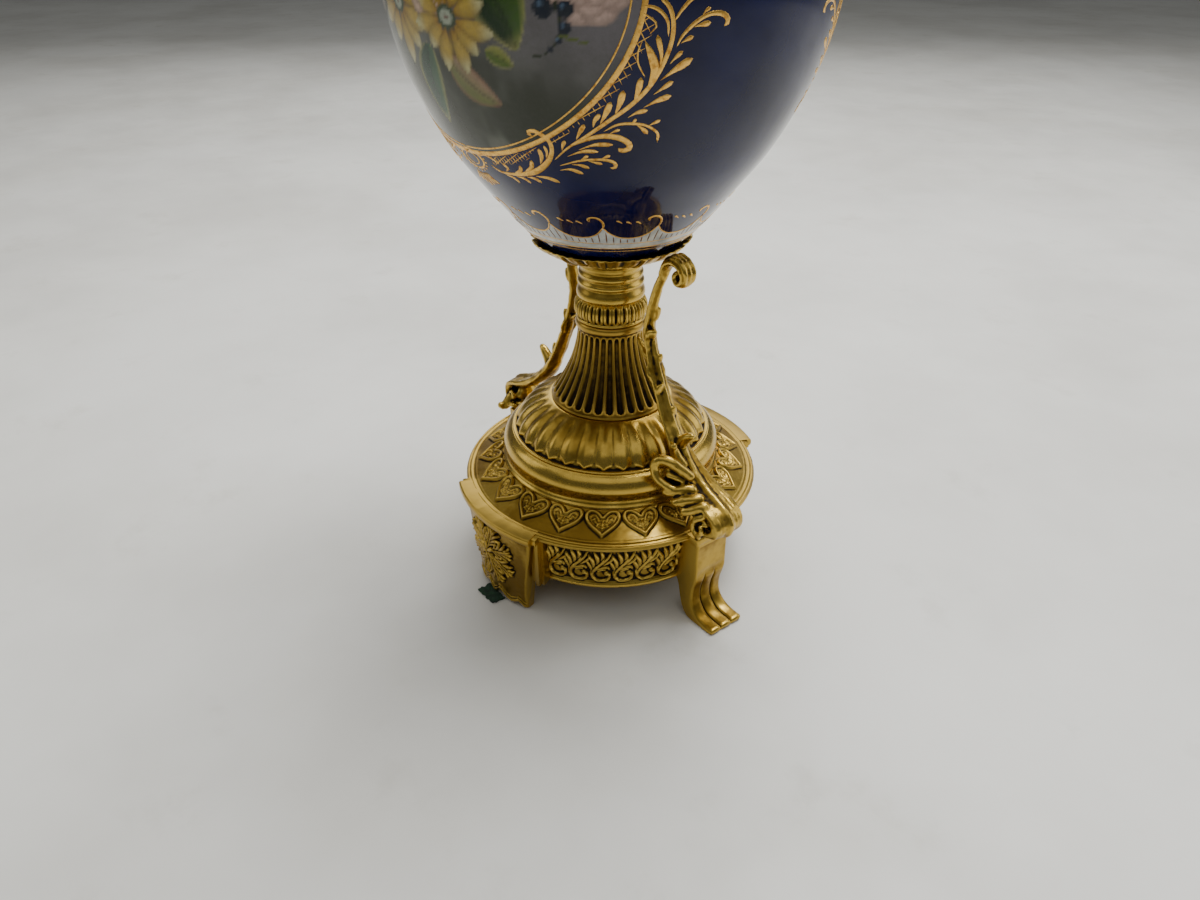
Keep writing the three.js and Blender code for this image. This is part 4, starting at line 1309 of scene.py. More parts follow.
def at(angle, z):
    """A painting position in millimetres from the middle of the reserve."""
    return ((angle - FRONT_ANGLE) * MM_PER_DEGREE, z - RESERVE_Z)


def paint_ground(points, seed):
    """The soft, cloudy ground of the picture: olive-grey below, turning lavender-grey above."""
    spots = np.column_stack([points, np.zeros(len(points))])
    cloud = 0.6 * noise(spots, 30, seed) + 0.3 * noise(spots, 13, seed + 1) + 0.15 * noise(spots, 5,
            seed + 2)
    olive, stone, mauve = linear(50, 54, 42), linear(82, 86, 76), linear(104, 100, 104)
    tint = toward(olive, stone, smoothstep(-0.15, 0.6, cloud))
    height = smoothstep(-34, 24, points[:, 1] + 0.35 * points[:, 0] + 14 * cloud)
    tint = toward(tint, mauve, height)
    low = smoothstep(-52, -80, points[:, 1] + 8 * cloud) * smoothstep(0.0, 0.5, cloud)
    return tint + (np.array(linear(112, 114, 104)) - tint) * 0.6 * low[:, None]


def paint_front(points):
    """The bouquet: yellow daisies, pale blooms, broad leaves, a bud and dark berries."""
    tint = paint_ground(points, 81)
    grass = linear(16, 44, 10), linear(58, 88, 28), linear(150, 148, 92)
    sea = linear(38, 66, 48), linear(62, 94, 66), linear(150, 146, 84)
    mixed = grass[0], grass[1], sea[2]
    brown = linear(104, 108, 58), linear(140, 118, 92), linear(116, 78, 62)
    lime = linear(74, 96, 24), linear(128, 132, 62), grass[2]
    for base, tip, width, colours, bend in (
        (at(20, 405), at(31, 366.5), 15.5, grass, 4),
        (at(42, 428), at(56, 396), 11, sea, -4),
        (at(-20, 420), at(-44, 402), 11, grass, 4),
        (at(6, 448), at(16, 474), 9, sea, 2),
        (at(-14, 446), at(-30, 466), 9, mixed, -3),
        (at(11, 361), at(24.4, 340.5), 8.4, brown, -3),
        (at(5, 366), at(0.5, 325.5), 9.6, sea, -3),
        (at(23, 365.5), at(29.6, 359.5), 4.6, lime, 0.6),
    ):
        tint = paint_leaf(tint, points, base, tip, width, *colours, bend)
    for place, size, outer, inner, seed in (
        (at(47, 397), 17, linear(186, 160, 148), linear(150, 96, 92), 0.4),
        (at(-24, 396), 19, linear(190, 180, 166), linear(160, 130, 92), 1.2),
        (at(-2, 430), 25, linear(206, 178, 160), linear(168, 110, 96), 2.0),
        (at(26, 428), 19, linear(196, 190, 176), linear(158, 142, 96), 2.9),
    ):
        tint = paint_bloom(tint, points, place, size, outer, inner, seed)
    tint = paint_daisy(tint, points, at(-5, 383), 26, 11, 1.0, 8)
    tint = paint_bloom(tint, points, at(8, 391), 13, linear(190, 164, 142), linear(150, 108, 84), 0.9)
    tint = paint_daisy(tint, points, at(13.4, 378.8), 23, 11, 1.0, 22, (1.5, -1.5))
    tint = paint_daisy(tint, points, at(-30, 440), 19, 10, 0.9, 0)
    tint = paint_daisy(tint, points, at(33, 456), 15, 10, 0.9, 12)
    vine, shoot = linear(36, 44, 24), linear(84, 96, 34)
    for path, width, colour in (
        ([at(40, 388), at(40.8, 380), at(40.2, 372), at(37, 365.5), at(34.4, 365)], 0.7, vine),
        ([at(41, 374), at(44, 372), at(46.4, 371.4)], 0.8, shoot),
        ([at(-36, 392), at(-42, 380), at(-43, 368)], 0.8, vine),
    ):
        tint = paint_stem(tint, points, path, width, colour)
    for place, size in (
        (at(37.5, 385.2), 4.6), (at(42.1, 384.7), 3.8), (at(41.8, 377), 3.0), (at(40.4, 371.6), 1.7),
        (at(38.6, 367.6), 1.4), (at(-42.4, 379), 3.4), (at(-43.4, 371), 2.8), (at(-39.6, 383.6), 3.8),
    ):
        tint = paint_berry(tint, points, place, size)
    return tint


def paint_back(points):
    """The plainer posy on the back."""
    tint = paint_ground(points, 95)
    deep, mid, lime = linear(22, 48, 16), linear(62, 90, 36), linear(146, 146, 96)
    for k in range(9):
        turn = 2 * math.pi * k / 9 + 0.3
        tip = (36 * math.cos(turn), 30 * math.sin(turn) - 4)
        tint = paint_leaf(tint, points, (8 * math.cos(turn), 8 * math.sin(turn)), tip, 7.5, deep, mid, lime,
                3 * (-1) ** k)
    tint = paint_bloom(tint, points, (0, 2), 19, linear(200, 172, 156), linear(160, 104, 92), 0.2)
    tint = paint_bloom(tint, points, (-21, -8), 13, linear(194, 188, 172), linear(156, 140, 96), 1.1)
    return paint_daisy(tint, points, (20, -7), 16, 11, 1.0, 5)


def columns_around():
    """Angles round the body: close together across the two pictures, wider between them."""
    half = FRAME_HALF[0] + 1.5
    front = np.linspace(FRONT_ANGLE - half, FRONT_ANGLE + half, 172)
    back = np.linspace(FRONT_ANGLE + 180 - half, FRONT_ANGLE + 180 + half, 88)
    right = np.linspace(front[-1], back[0], 22)[1:-1]
    left = np.linspace(back[-1], front[0] + 360, 22)[1:-1]
    return np.concatenate([front, right, back, left])


def body_profile():
    """Outside heights close together beside the pictures, then the inside wall back down."""
    low, high = RESERVE_Z - FRAME_HALF[1] - 2, RESERVE_Z + FRAME_HALF[1] + 2
    z = np.concatenate([
        np.linspace(BODY_Z[0], low, OUTSIDE_ROWS[0], endpoint=False),
        np.linspace(low, high, OUTSIDE_ROWS[1], endpoint=False),
        np.linspace(high, BODY_Z[1], OUTSIDE_ROWS[2])])
    outside = np.stack([np.interp(z, body_line[:, 1], body_line[:, 0]), z], axis=1)
    inside_z = np.linspace(BODY_Z[1], BODY_Z[0] + WALL, 16)
    radius = np.interp(inside_z, body_line[:, 1], body_line[:, 0]) - WALL * 1.1
    within = np.stack([np.maximum(radius, 20), inside_z], axis=1)
    floor_ring = [(12, BODY_Z[0] + WALL), (12, BODY_Z[0])]
    return np.vstack([outside, within, floor_ring])


def porcelain():
    """The vase body, with both painted reserves in its glaze."""
    angles = columns_around()
    profile = body_profile()
    turn = np.radians(angles)[:, None]
    points = around(profile[:, 0], turn, profile[:, 1])
    rows, columns = points.shape[:2]
    faces = [grid_faces(rows, columns, wrap_rows=True, wrap_columns=True)]
    angle_grid = np.broadcast_to(angles[:, None], (rows, columns)).ravel()
    z_grid = points[..., 2].ravel()
    outside = np.tile(np.arange(columns) < sum(OUTSIDE_ROWS), rows)
    tint = np.tile(linear(9, 15, 58), (rows * columns, 1)).astype(float)
    painted = np.zeros(rows * columns)
    for middle, painter in ((FRONT_ANGLE, paint_front), (FRONT_ANGLE + 180, paint_back)):
        across = (angle_grid - middle + 180) % 360 - 180
        reach = (across / FRAME_HALF[0]) ** 2 + ((z_grid - RESERVE_Z) / FRAME_HALF[1]) ** 2
        chosen = (reach < 1.0) & outside
        spots = np.stack([across[chosen] * MM_PER_DEGREE, z_grid[chosen] - RESERVE_Z], axis=1)
        tint[chosen] = painter(spots)
        painted[chosen] = 1
    piece = make_piece("porcelain_body", points.reshape(-1, 3), faces, {"painted": painted}, tint)
    face_outwards(piece)
    return finish_piece(piece, PORCELAIN, "urn_body")


def white_enamel():
    """The white border: slightly grey, with thin glaze pooling."""
    f = Finish("white_border_enamel")
    pool = f.noise(8, 4, 0.6)
    colour = f.mix(f.remap(pool, 0.3, 0.7), linear(206, 208, 202), linear(168, 174, 176))
    f.set(Base_Color=colour, Roughness=f.remap(pool, 0.3, 0.8, 0.08, 0.2), Normal=f.bump(pool, 0.06, 0.3))
    f.set(IOR=1.45)
    return f.material


WHITE = white_enamel()


# ------------------------------------------------------------------ gilding painted on the porcelain
GILD_LIFT = 0.16


class Gilding:
    """Collects brush strokes on the porcelain and turns them into one mesh."""

    def __init__(self, mirror_about=None, turn=0.0):
        self.strips = []
        self.mirror_about = mirror_about
        self.turn = turn

    def stroke(self, path, widths, steps=None, mirrored=True, lift=GILD_LIFT):
        """A brush stroke through (angle, height) points; widths are half-widths in millimetres."""
        paths = [np.asarray(path, float)]
        if mirrored and self.mirror_about is not None:
            paths.append(np.array([(2 * self.mirror_about - a, z) for a, z in path]))
        for one in paths:
            self._add(one, widths, steps, lift)

    def _add(self, path, widths, steps, lift):
        scaled = path * (MM_PER_DEGREE, 1)
        length = np.linalg.norm(np.diff(scaled, axis=0), axis=1).sum()
        steps = steps or int(np.clip(length / 1.5, 5, 60))
        line = even_points(scaled, steps) / (MM_PER_DEGREE, 1)
        centre, normal = on_body(line[:, 0] + self.turn, line[:, 1])
        along = unit(np.gradient(centre, axis=0))
        side = unit(np.cross(normal, along))
        share = np.linspace(0, 1, steps)
        width = np.interp(share, np.linspace(0, 1, len(widths)), widths)
        mm = share * max(length, 1e-6)
        width = width * round_end(mm, width, 0.05, 0.03) * round_end(mm[-1] - mm, width, 0.05, 0.03)
        rows = []
        for across, rise in ((-1.0, -0.12), (-0.62, lift), (0.62, lift), (1.0, -0.12)):
            rows.append(centre + across * width[:, None] * side + rise * normal)
        self.strips.append(np.stack(rows, axis=1))

    def ring(self, middle, half, width, steps):
        """An ellipse round (angle, height), from its lowest point."""
        turn = np.linspace(0, 1, steps) * 2 * np.pi
        path = np.stack([middle[0] + half[0] * np.sin(turn), middle[1] - half[1] * np.cos(turn)], axis=1)
        self.stroke(path, [width, width], steps, mirrored=False)

    def build(self, name, material):
        points, faces, start = [], [], 0
        for strip in self.strips:
            rows, columns = strip.shape[:2]
            points.append(strip.reshape(-1, 3))
            faces.append(grid_faces(rows, columns, wrap_columns=True, start=start)[:, ::-1])
            faces.append(np.arange(columns)[None, :] + start)
            faces.append(np.arange(columns)[None, ::-1] + (rows - 1) * columns + start)
            start += rows * columns
        piece = make_piece(name, np.concatenate(points), faces)
        face_outwards(piece)
        return finish_piece(piece, material, "urn_body")


STEM_PATH = [(35.4, 313.6), (40.0, 321.0), (45.2, 327.6), (50.6, 335.2), (55.6, 342.6), (59.4, 350.4),
        (61.8, 358.4), (63.3, 366.0), (64.1, 373.0), (64.0, 380.0), (63.0, 385.6), (61.0, 389.6)]


def garland(gold):
    """Half of the acanthus garland that follows the frame; the other half is its mirror."""
    gold.stroke(STEM_PATH, [0.35, 0.9, 1.25, 1.35, 1.4, 1.35, 1.3, 1.1], 48)
    curls = [([(40.4, 321.6), (44.6, 325.4), (49.0, 327.6), (53.0, 327.0), (55.8, 324.2), (56.2, 321.2),
            (54.4, 319.9), (53.4, 321.4)], [0.4, 1.0, 1.4, 1.7, 2.0, 2.0, 1.8, 1.6]),
            ([(49.6, 330.2), (53.0, 333.6), (57.0, 334.0), (60.4, 332.6), (63.2, 328.6), (63.4, 324.0)],
            [0.3, 0.8, 1.0, 0.9, 0.9, 0.8]), ([(36.6, 310.6), (43.4, 314.2), (49.6, 314.8), (52.6, 312.8),
            (52.4, 310.0), (51.2, 310.6)], [0.3, 0.7, 0.9, 1.0, 1.3, 1.0]), ([(65.2, 369.0), (66.2, 373.4),
            (68.8, 378.8), (71.8, 382.0), (74.8, 381.8), (76.2, 378.8), (75.4, 376.8)],
            [0.4, 0.9, 1.1, 1.1, 1.2, 1.5, 1.4]), ([(64.4, 380.0), (65.6, 384.0), (68.0, 389.0),
            (71.4, 391.6), (74.6, 390.6)], [0.6, 1.0, 1.1, 1.2, 1.4])]
    for path, widths in curls:
        gold.stroke(path, widths)
    drops = [((42.7, 320.1), (47.1, 323.0), (51.9, 323.2), 1.6), ((39.4, 316.2), (43.7, 319.2),
            (48.0, 319.4), 1.5), ((43.0, 314.4), (43.8, 315.4), (45.2, 317.0), 1.2),
            ((48.4, 315.0), (49.8, 316.2), (51.2, 317.4), 1.2), ((45.0, 314.2), (47.0, 313.2),
            (49.0, 312.4), 1.2), ((40.3, 311.8), (42.8, 311.4), (45.2, 309.8), 1.4),
            ((36.3, 307.9), (39.6, 308.7), (43.2, 306.4), 1.5), ((56.0, 333.9), (57.0, 335.2),
            (57.4, 336.6), 1.0), ((57.4, 333.8), (59.2, 331.4), (60.6, 328.6), 1.5),
            ((60.4, 332.6), (61.8, 334.0), (63.4, 335.4), 1.1), ((51.0, 329.0), (52.2, 330.2),
            (53.6, 331.2), 1.0), ((55.4, 337.2), (57.4, 339.4), (60.0, 340.6), 1.5),
            ((59.0, 342.0), (61.8, 344.8), (65.2, 347.2), 1.8), ((61.0, 348.0), (63.0, 350.8),
            (65.2, 353.8), 1.5), ((62.2, 354.4), (65.2, 358.8), (69.0, 363.6), 2.2),
            ((64.0, 361.6), (65.0, 364.0), (66.6, 367.0), 1.3), ((66.0, 370.4), (67.2, 371.8),
            (68.6, 373.0), 1.3), ((68.4, 377.0), (70.2, 377.8), (72.2, 378.4), 1.5),
            ((70.2, 381.6), (70.8, 383.4), (71.8, 384.6), 1.0)]
    for root, middle, tip, width in drops:
        gold.stroke([root, middle, tip], [0.18, 0.45 * width, width, 0.9 * width], 9)
    inner = [((38.2, 319.4), (38.6, 322.0), (39.4, 324.8), 1.3), ((42.4, 325.4), (43.4, 329.0),
            (44.9, 333.6), 1.5), ((47.0, 332.0), (47.4, 335.4), (48.8, 339.0), 1.5),
            ((48.7, 333.8), (50.0, 338.6), (51.4, 344.8), 1.9), ((52.3, 338.6), (53.4, 344.0),
            (54.2, 350.2), 2.0), ((56.6, 343.8), (57.4, 349.6), (58.0, 356.0), 1.9),
            ((61.8, 360.2), (62.0, 366.0), (60.9, 374.2), 1.5)]
    for root, middle, tip, width in inner:
        gold.stroke([root, middle, tip], [0.18, 0.6 * width, width, 0.85 * width], 10)
    gold.stroke([(59.6, 351.0), (60.8, 359.4), (59.8, 366.0), (58.4, 371.8)], [0.3, 1.7, 2.6, 1.9, 0.4], 14)
    gold.stroke([(58.8, 356.0), (57.2, 362.0), (57.0, 367.4), (57.8, 371.6)], [0.35, 0.5, 0.5, 0.35], 12)
    gold.stroke([(63.2, 373.4), (62.8, 380.0), (60.6, 384.8), (57.4, 386.4)], [0.4, 0.9, 1.0, 0.5], 12)
    gold.stroke([(57.2, 384.0), (60.6, 378.8), (59.2, 374.6)], [0.45, 0.6, 0.4], 8)


def lower_scroll(gold):
    """The C-scroll under the frame with its tie, its drops and the drops that trail from it."""
    gold.stroke([(10.8, 304.6), (13.6, 301.8), (18.4, 301.6), (23.6, 302.9), (28.9, 306.2), (33.0, 311.8),
            (35.0, 317.6), (35.2, 322.6), (34.0, 326.0), (31.2, 328.8), (29.4, 327.6), (30.4, 325.8)],
            [0.5, 0.9, 1.1, 1.3, 1.8, 2.2, 2.1, 1.8, 1.3, 1.5, 1.5, 1.2], 44)
    for root, middle, tip, width in (
        ((16.6, 302.8), (17.8, 304.8), (16.4, 307.6), 1.2),
        ((20.0, 302.8), (22.6, 304.8), (23.2, 308.0), 1.4),
        ((24.4, 304.8), (27.2, 308.0), (28.0, 312.2), 1.5),
        ((30.6, 310.4), (31.6, 314.6), (31.4, 319.4), 1.5),
        ((33.0, 314.2), (33.6, 317.6), (33.2, 321.4), 1.0),
    ):
        gold.stroke([root, middle, tip], [0.25, 0.7 * width, width, 0.8 * width], 9)
    for root, tip, width in (((15.4, 300.6), (20.0, 296.6), 1.1), ((19.8, 300.8), (24.6, 297.6), 1.1),
                             ((24.0, 301.6), (28.8, 298.8), 1.3), ((27.6, 302.8), (35.2, 300.2), 1.5)):
        middle = ((root[0] + tip[0]) / 2 + 0.5, (root[1] + tip[1]) / 2 + 0.8)
        gold.stroke([root, middle, tip], [0.2, 0.7 * width, width, 0.9 * width], 9)


def oculus(gold):
    """A blue eye in a beaded gold ring under the middle, with a fan of strokes below."""
    middle = (FRONT_ANGLE, 306.0)
    gold.ring(middle, (5.4, 5.6), 0.9, steps=40)
    gold.ring(middle, (3.0, 3.4), 0.45, steps=26)
    for k in range(14):
        turn = math.radians(-120 + 240 * k / 13)
        gold.stroke([(middle[0] + 6.1 * math.sin(turn), middle[1] - 6.6 * math.cos(turn)),
                (middle[0] + 6.9 * math.sin(turn), middle[1] - 7.5 * math.cos(turn))], [0.7, 0.8], 5,
                mirrored=False)
    for side in (-1, 1):
        gold.stroke([(middle[0] + side * 5.2, 309.2), (middle[0] + side * 8.0, 310.6),
                (middle[0] + side * 11.5, 308.4), (middle[0] + side * 13, 306.4)], [0.9, 1.1, 0.9, 0.5], 12,
                mirrored=False)
    for k in range(-3, 4):
        lean = 1.5 * k
        gold.stroke([(middle[0] + 0.9 * k, 297.2 + 0.25 * abs(k)), (middle[0] + 0.9 * k + 0.45 * lean,
                293.8), (middle[0] + 0.9 * k + 0.8 * lean, 289.0 + 1.0 * abs(k))], [0.35, 0.8, 1.0], 8,
                mirrored=False)


def lattice(gold):
    """Crossed hair lines between the frame and the garland's inner drops."""
    outer = [(34.6, 320.6), (38.6, 325.4), (42.4, 331.4), (46.0, 336.6), (49.2, 341.6), (52.0, 347.6),
            (54.8, 354.6), (57.2, 362.6), (59.4, 372.6), (60.8, 379.6), (57.4, 386.0)]
    inner = [(57.0, 383.0), (56.0, 374.0), (53.6, 361.0), (50.4, 350.6), (46.2, 341.0), (41.6, 332.8),
            (37.0, 326.4), (34.4, 323.4)]
    fill(gold, np.array(outer + inner), 3.5, 0.34)
    low_outer = [(12.0, 304.6), (16.6, 306.6), (22.4, 308.6), (27.4, 312.8), (31.2, 319.8)]
    low_inner = [(31.0, 320.4), (24.9, 315.8), (16.8, 311.8), (12.4, 310.6)]
    fill(gold, np.array(low_outer + low_inner), 2.5, 0.3)


def fill(gold, region, pitch, width):
    """Two families of crossing lines inside a region of the porcelain."""
    scaled = region * (MM_PER_DEGREE, 1)
    middle = scaled.mean(axis=0)
    for lean in (28, 118):
        direction = np.array([math.cos(math.radians(lean)), math.sin(math.radians(lean))])
        across = np.array([-direction[1], direction[0]])
        reach = np.abs((scaled - middle) @ across).max()
        span = np.abs((scaled - middle) @ direction).max()
        for k in range(-int(reach / pitch), int(reach / pitch) + 1):
            t = np.linspace(-span, span, int(4 * span))
            line = middle + across * k * pitch + t[:, None] * direction
            within = inside(line, scaled)
            edges = np.flatnonzero(np.diff(np.concatenate([[0], within.astype(int), [0]])))
            for a, b in zip(edges[::2], edges[1::2]):
                if b - a > 3:
                    ends = line[[a, (a + b) // 2, b - 1]] / (MM_PER_DEGREE, 1)
                    gold.stroke(ends, [width, width], max(3, int((b - a) / 6)), lift=0.1)


def frame_gilding(name, turn, rich):
    """The frame, garlands and small ornaments round one reserve."""
    gold = Gilding(FRONT_ANGLE, turn)
    middle = (FRONT_ANGLE, RESERVE_Z)
    gold.ring(middle, FRAME_HALF, 1.7, steps=240)
    gold.ring(middle, THIN_HALF, 0.55, steps=220)
    for flip in (1, -1):
        below = len(gold.strips)
        garland(gold)
        if rich or flip > 0:
            lower_scroll(gold)
            lattice(gold)
        oculus(gold)
        if flip < 0:
            gold.strips[below:] = [turned_over(strip) for strip in gold.strips[below:]]
    for side in (-1, 1):
        clasp = [(FRONT_ANGLE + side * (FRAME_HALF[0] - 3.2), RESERVE_Z),
                (FRONT_ANGLE + side * (FRAME_HALF[0] + 0.6), RESERVE_Z)]
        gold.stroke(clasp, [6.5, 6.5], 8, mirrored=False, lift=0.2)
    return gold.build(name, GILDING)


def turned_over(strip):
    """The same strokes above the middle of the reserve: mirrored in height on the porcelain."""
    angle = np.degrees(np.arctan2(strip[..., 0], -strip[..., 1]))
    flipped = 2 * (RESERVE_Z + 1.0) - strip[..., 2]
    spread_out = np.interp(strip[..., 2], body_line[:, 1], body_line[:, 0])
    lift = np.hypot(strip[..., 0], strip[..., 1]) - spread_out
    points, _ = on_body(angle, flipped, lift)
    return points[:, ::-1]


# ------------------------------------------------------------------ wave border under the body
WAVES = 14
WAVE_PITCH = 360 / WAVES
WAVE_KEYS = (0.8, 2.4, 4.4, 7.5, 11.5, 15.5, 19.5, 22.8, 24.6, WAVE_PITCH)
WAVE_PEAK = 22.0
HATCH_LINES = 7
BORDER_LINES = (256.7, 252.4)


def wave_edge(phase):
    """Height of the white border's upper edge; phase is degrees after a peak."""
    rise = [269.6, 268.2, 265.8, 263.9, 262.0, 261.1, 261.1, 262.1, 264.4, 267.0, 269.6]
    return np.interp(phase % WAVE_PITCH, [0, *WAVE_KEYS], rise)


def white_band():
    """A thin closed ring of enamel on the porcelain, from its lower line up to the waves."""
    angle = full_turn(WAVES * 28)
    low = np.full(len(angle), BORDER_LINES[1])
    high = wave_edge(angle - WAVE_PEAK)
    z = low[:, None] + (high - low)[:, None] * np.linspace(0, 1, 7)
    a = np.broadcast_to(angle[:, None], z.shape)
    top, under = on_body(a, z, 0.09)[0], on_body(a, z, -0.5)[0]
    loops = np.concatenate([top, under[:, ::-1]], axis=1)
    faces = [grid_faces(len(angle), loops.shape[1], wrap_rows=True, wrap_columns=True)]
    piece = make_piece("white_wave_border", loops.reshape(-1, 3), faces)
    face_outwards(piece)
    return finish_piece(piece, WHITE, "urn_body")


def wave_border():
    """The white border with its gold waves, curls, drops and brown hatching."""
    white_band()
    gold = Gilding()
    for z, width in ((BORDER_LINES[0], 0.45), (BORDER_LINES[1], 0.6), (BORDER_LINES[1] - 2.2, 0.3)):
        gold.stroke([(a, z) for a in np.linspace(0, 360, 121)], [width, width], 240, mirrored=False)
    fine = Gilding()
    for k in range(WAVES):
        peak = WAVE_PEAK + k * WAVE_PITCH
        edge = [(peak + phase, wave_edge(np.array(phase))) for phase in (0.1, *WAVE_KEYS)]
        gold.stroke(edge, [0.5, 0.55, 0.5, 0.55, 0.6], 30, mirrored=False)
        curl = [(peak + 0.1, 269.0), (peak + 0.5, 271.6), (peak - 0.2, 274.4), (peak - 2.0, 276.6),
                (peak - 4.2, 277.0), (peak - 5.8, 275.6), (peak - 5.4, 274.0)]
        gold.stroke(curl, [0.7, 0.8, 0.9, 0.9, 0.9, 1.0, 1.1], 20, mirrored=False)
        for first, z in ((6.0, 275.0), (10.2, 274.2), (14.4, 274.0)):
            gold.stroke([(peak + first, z), (peak + first + 1.0, z - 0.7), (peak + first + 2.6, z - 2.0)],
                    [0.9, 0.7, 0.25], 7, mirrored=False)
        for step in range(HATCH_LINES):
            phase = 1.6 + step * 3.67
            high = float(wave_edge(np.array(phase))) - 0.8
            hatch = [(peak + phase, BORDER_LINES[0] + 0.6), (peak + phase - 0.35, high)]
            fine.stroke(hatch, [0.6, 0.42], 5, mirrored=False, lift=0.2)
    gold.build("wave_border_gilding", GILDING)
    fine.build("wave_border_hatching", BROWN_GOLD)


def brown_gilding():
    """The thin brownish gold of the hatching."""
    f = Finish("brown_gilding")
    thin = f.noise(2.2, 3, 0.6)
    colour = f.mix(f.remap(thin, 0.4, 0.7), linear(118, 72, 30), linear(76, 44, 20))
    f.set(Base_Color=colour, Metallic=0.15, Roughness=f.remap(thin, 0.3, 0.8, 0.3, 0.55),
            Normal=f.bump(thin, 0.04, 0.3))
    return f.material


BROWN_GOLD = brown_gilding()


# ------------------------------------------------------------------ mouth, lid and finial
def mouth_ring():
    """The turned metal ring at the mouth."""
    profile = polyline([(39.8, 541.4), (47.0, 541.4), (49.6, 542.2), (50.8, 543.8), (50.4, 545.4),
            (48.8, 546.4), (47.6, 547.6), (47.6, 549.2), (48.8, 550.4), (50.4, 551.4), (51.0, 553.0),
            (50.6, 554.8), (49.2, 555.9), (45.0, 556.0), (40.2, 556.0), (39.6, 552.0), (39.6, 545.0)], 0.9)
    return turned_ring("mouth_collar_ring", soften(profile, 1), "mouth_collar", TURNED_BRASS,
            120, 0.04)


def lid_cover():
    """The porcelain lid: a low dome with a flange that drops inside the collar."""
    outer = curve_points([(51.4, 557.4), (51.5, 559.6), (50.2, 563.2), (46.4, 569.6), (40.4, 577.2),
            (32.4, 585.2), (24.4, 592.2), (18.6, 598.0), (16.4, 602.0), (15.8, 604.0)], 54)
    profile = np.vstack([[(36.4, 549.4), (36.5, 556.4), (49.6, 556.4), (50.8, 556.7)], outer,
            [(9.0, 604.0), (9.0, 598.0), (24.0, 585.0), (38.0, 570.0), (44.0, 561.0), (33.6, 560.0),
            (33.6, 549.4)]])
    piece = revolve("porcelain_lid", full_turn(ROUND_STEPS), profile)
    face_outwards(piece)
    return finish_piece(piece, GLAZE, "lid")


def lid_gilding():
    """Two gold lines and a ring of drops on the lid."""
    rings = [((51.52, 559.6), 0.7), ((48.9, 565.4), 0.45), ((25.9, 590.9), 0.5)]
    parts = []
    for (r, z), half in rings:
        section = [(r - 0.6, z - half), (r + 0.1, z - half * 0.7), (r + 0.16, z),
                (r - 0.05, z + half * 0.7), (r - 0.8, z + half)]
        parts.append(revolve("line", full_turn(ROUND_STEPS), section))
    for k in range(16):
        turn = math.radians(k * 22.5)
        path = [(r * math.sin(turn), -r * math.cos(turn), z) for r, z in ((46.6, 569.5), (42.6, 574.7),
                (38.2, 579.7))]
        parts.append(limb(path, [1.7, 2.2, 0.5], [0.34, 0.34, 0.3], (math.cos(turn), math.sin(turn), 0), 12,
                8))
    piece = join(parts, "lid_gilding")
    points = mesh_points(piece)
    radius = np.hypot(points[:, 0], points[:, 1])
    points[:, :2] *= (np.minimum(radius, 51.5) / np.maximum(radius, 1e-6))[:, None]
    set_points(piece, points)
    face_outwards(piece)
    return finish_piece(piece, GILDING, "lid")


def finial():
    """A small cast bud on a turned foot."""
    outer = curve_points([(15.4, 604.4), (15.5, 606.4), (13.6, 608.2), (9.6, 610.4), (7.2, 614.2),
            (7.6, 617.4), (9.8, 619.6), (10.0, 621.4), (8.4, 623.2), (9.2, 626.0), (12.6, 630.2),
            (14.5, 636.0), (13.8, 642.6), (10.6, 649.2), (6.8, 654.6), (4.4, 658.6), (2.6, 662.0),
            (0.6, 664.0)], 80)
    profile = np.vstack([[(0, 604.4)], outer, [(0, 664.0)]])
    steps = 144
    angle = np.linspace(0, 360, steps, endpoint=False)
    lobes = 12
    z = profile[:, 1]
    bud = smoothstep(624, 629, z) * smoothstep(663, 655, z)
    side = np.abs(((angle * lobes / 360) % 1) - 0.5) * 2
    height = bud[None, :] * (-1.1 * bump(side - 1, 0.35))[:, None] * (profile[:, 0] / 14.5)[None, :]
    piece = revolve("finial_bud", angle, profile, height)
    return cast(piece, (6, 1.6), (0.08, 0.03), 19, (14, 0.5), TURNED_BRASS, "lid_finial")


# ------------------------------------------------------------------ felt scrap under the front plaque
def felt():
    """Worn green felt."""
    f = Finish("green_felt")
    fuzz = f.noise(0.8, 4, 0.7)
    clump = f.noise(4, 3, 0.6)
    colour = f.mix(f.remap(clump, 0.3, 0.7), linear(3, 34, 14), linear(8, 58, 27))
    f.set(Base_Color=colour, Roughness=f.remap(fuzz, 0.2, 0.8, 0.8, 1.0), Normal=f.bump(fuzz, 0.4, 0.9))
    f.set(Sheen_Weight=0.08, Sheen_Roughness=0.6)
    return f.material


FELT = felt()


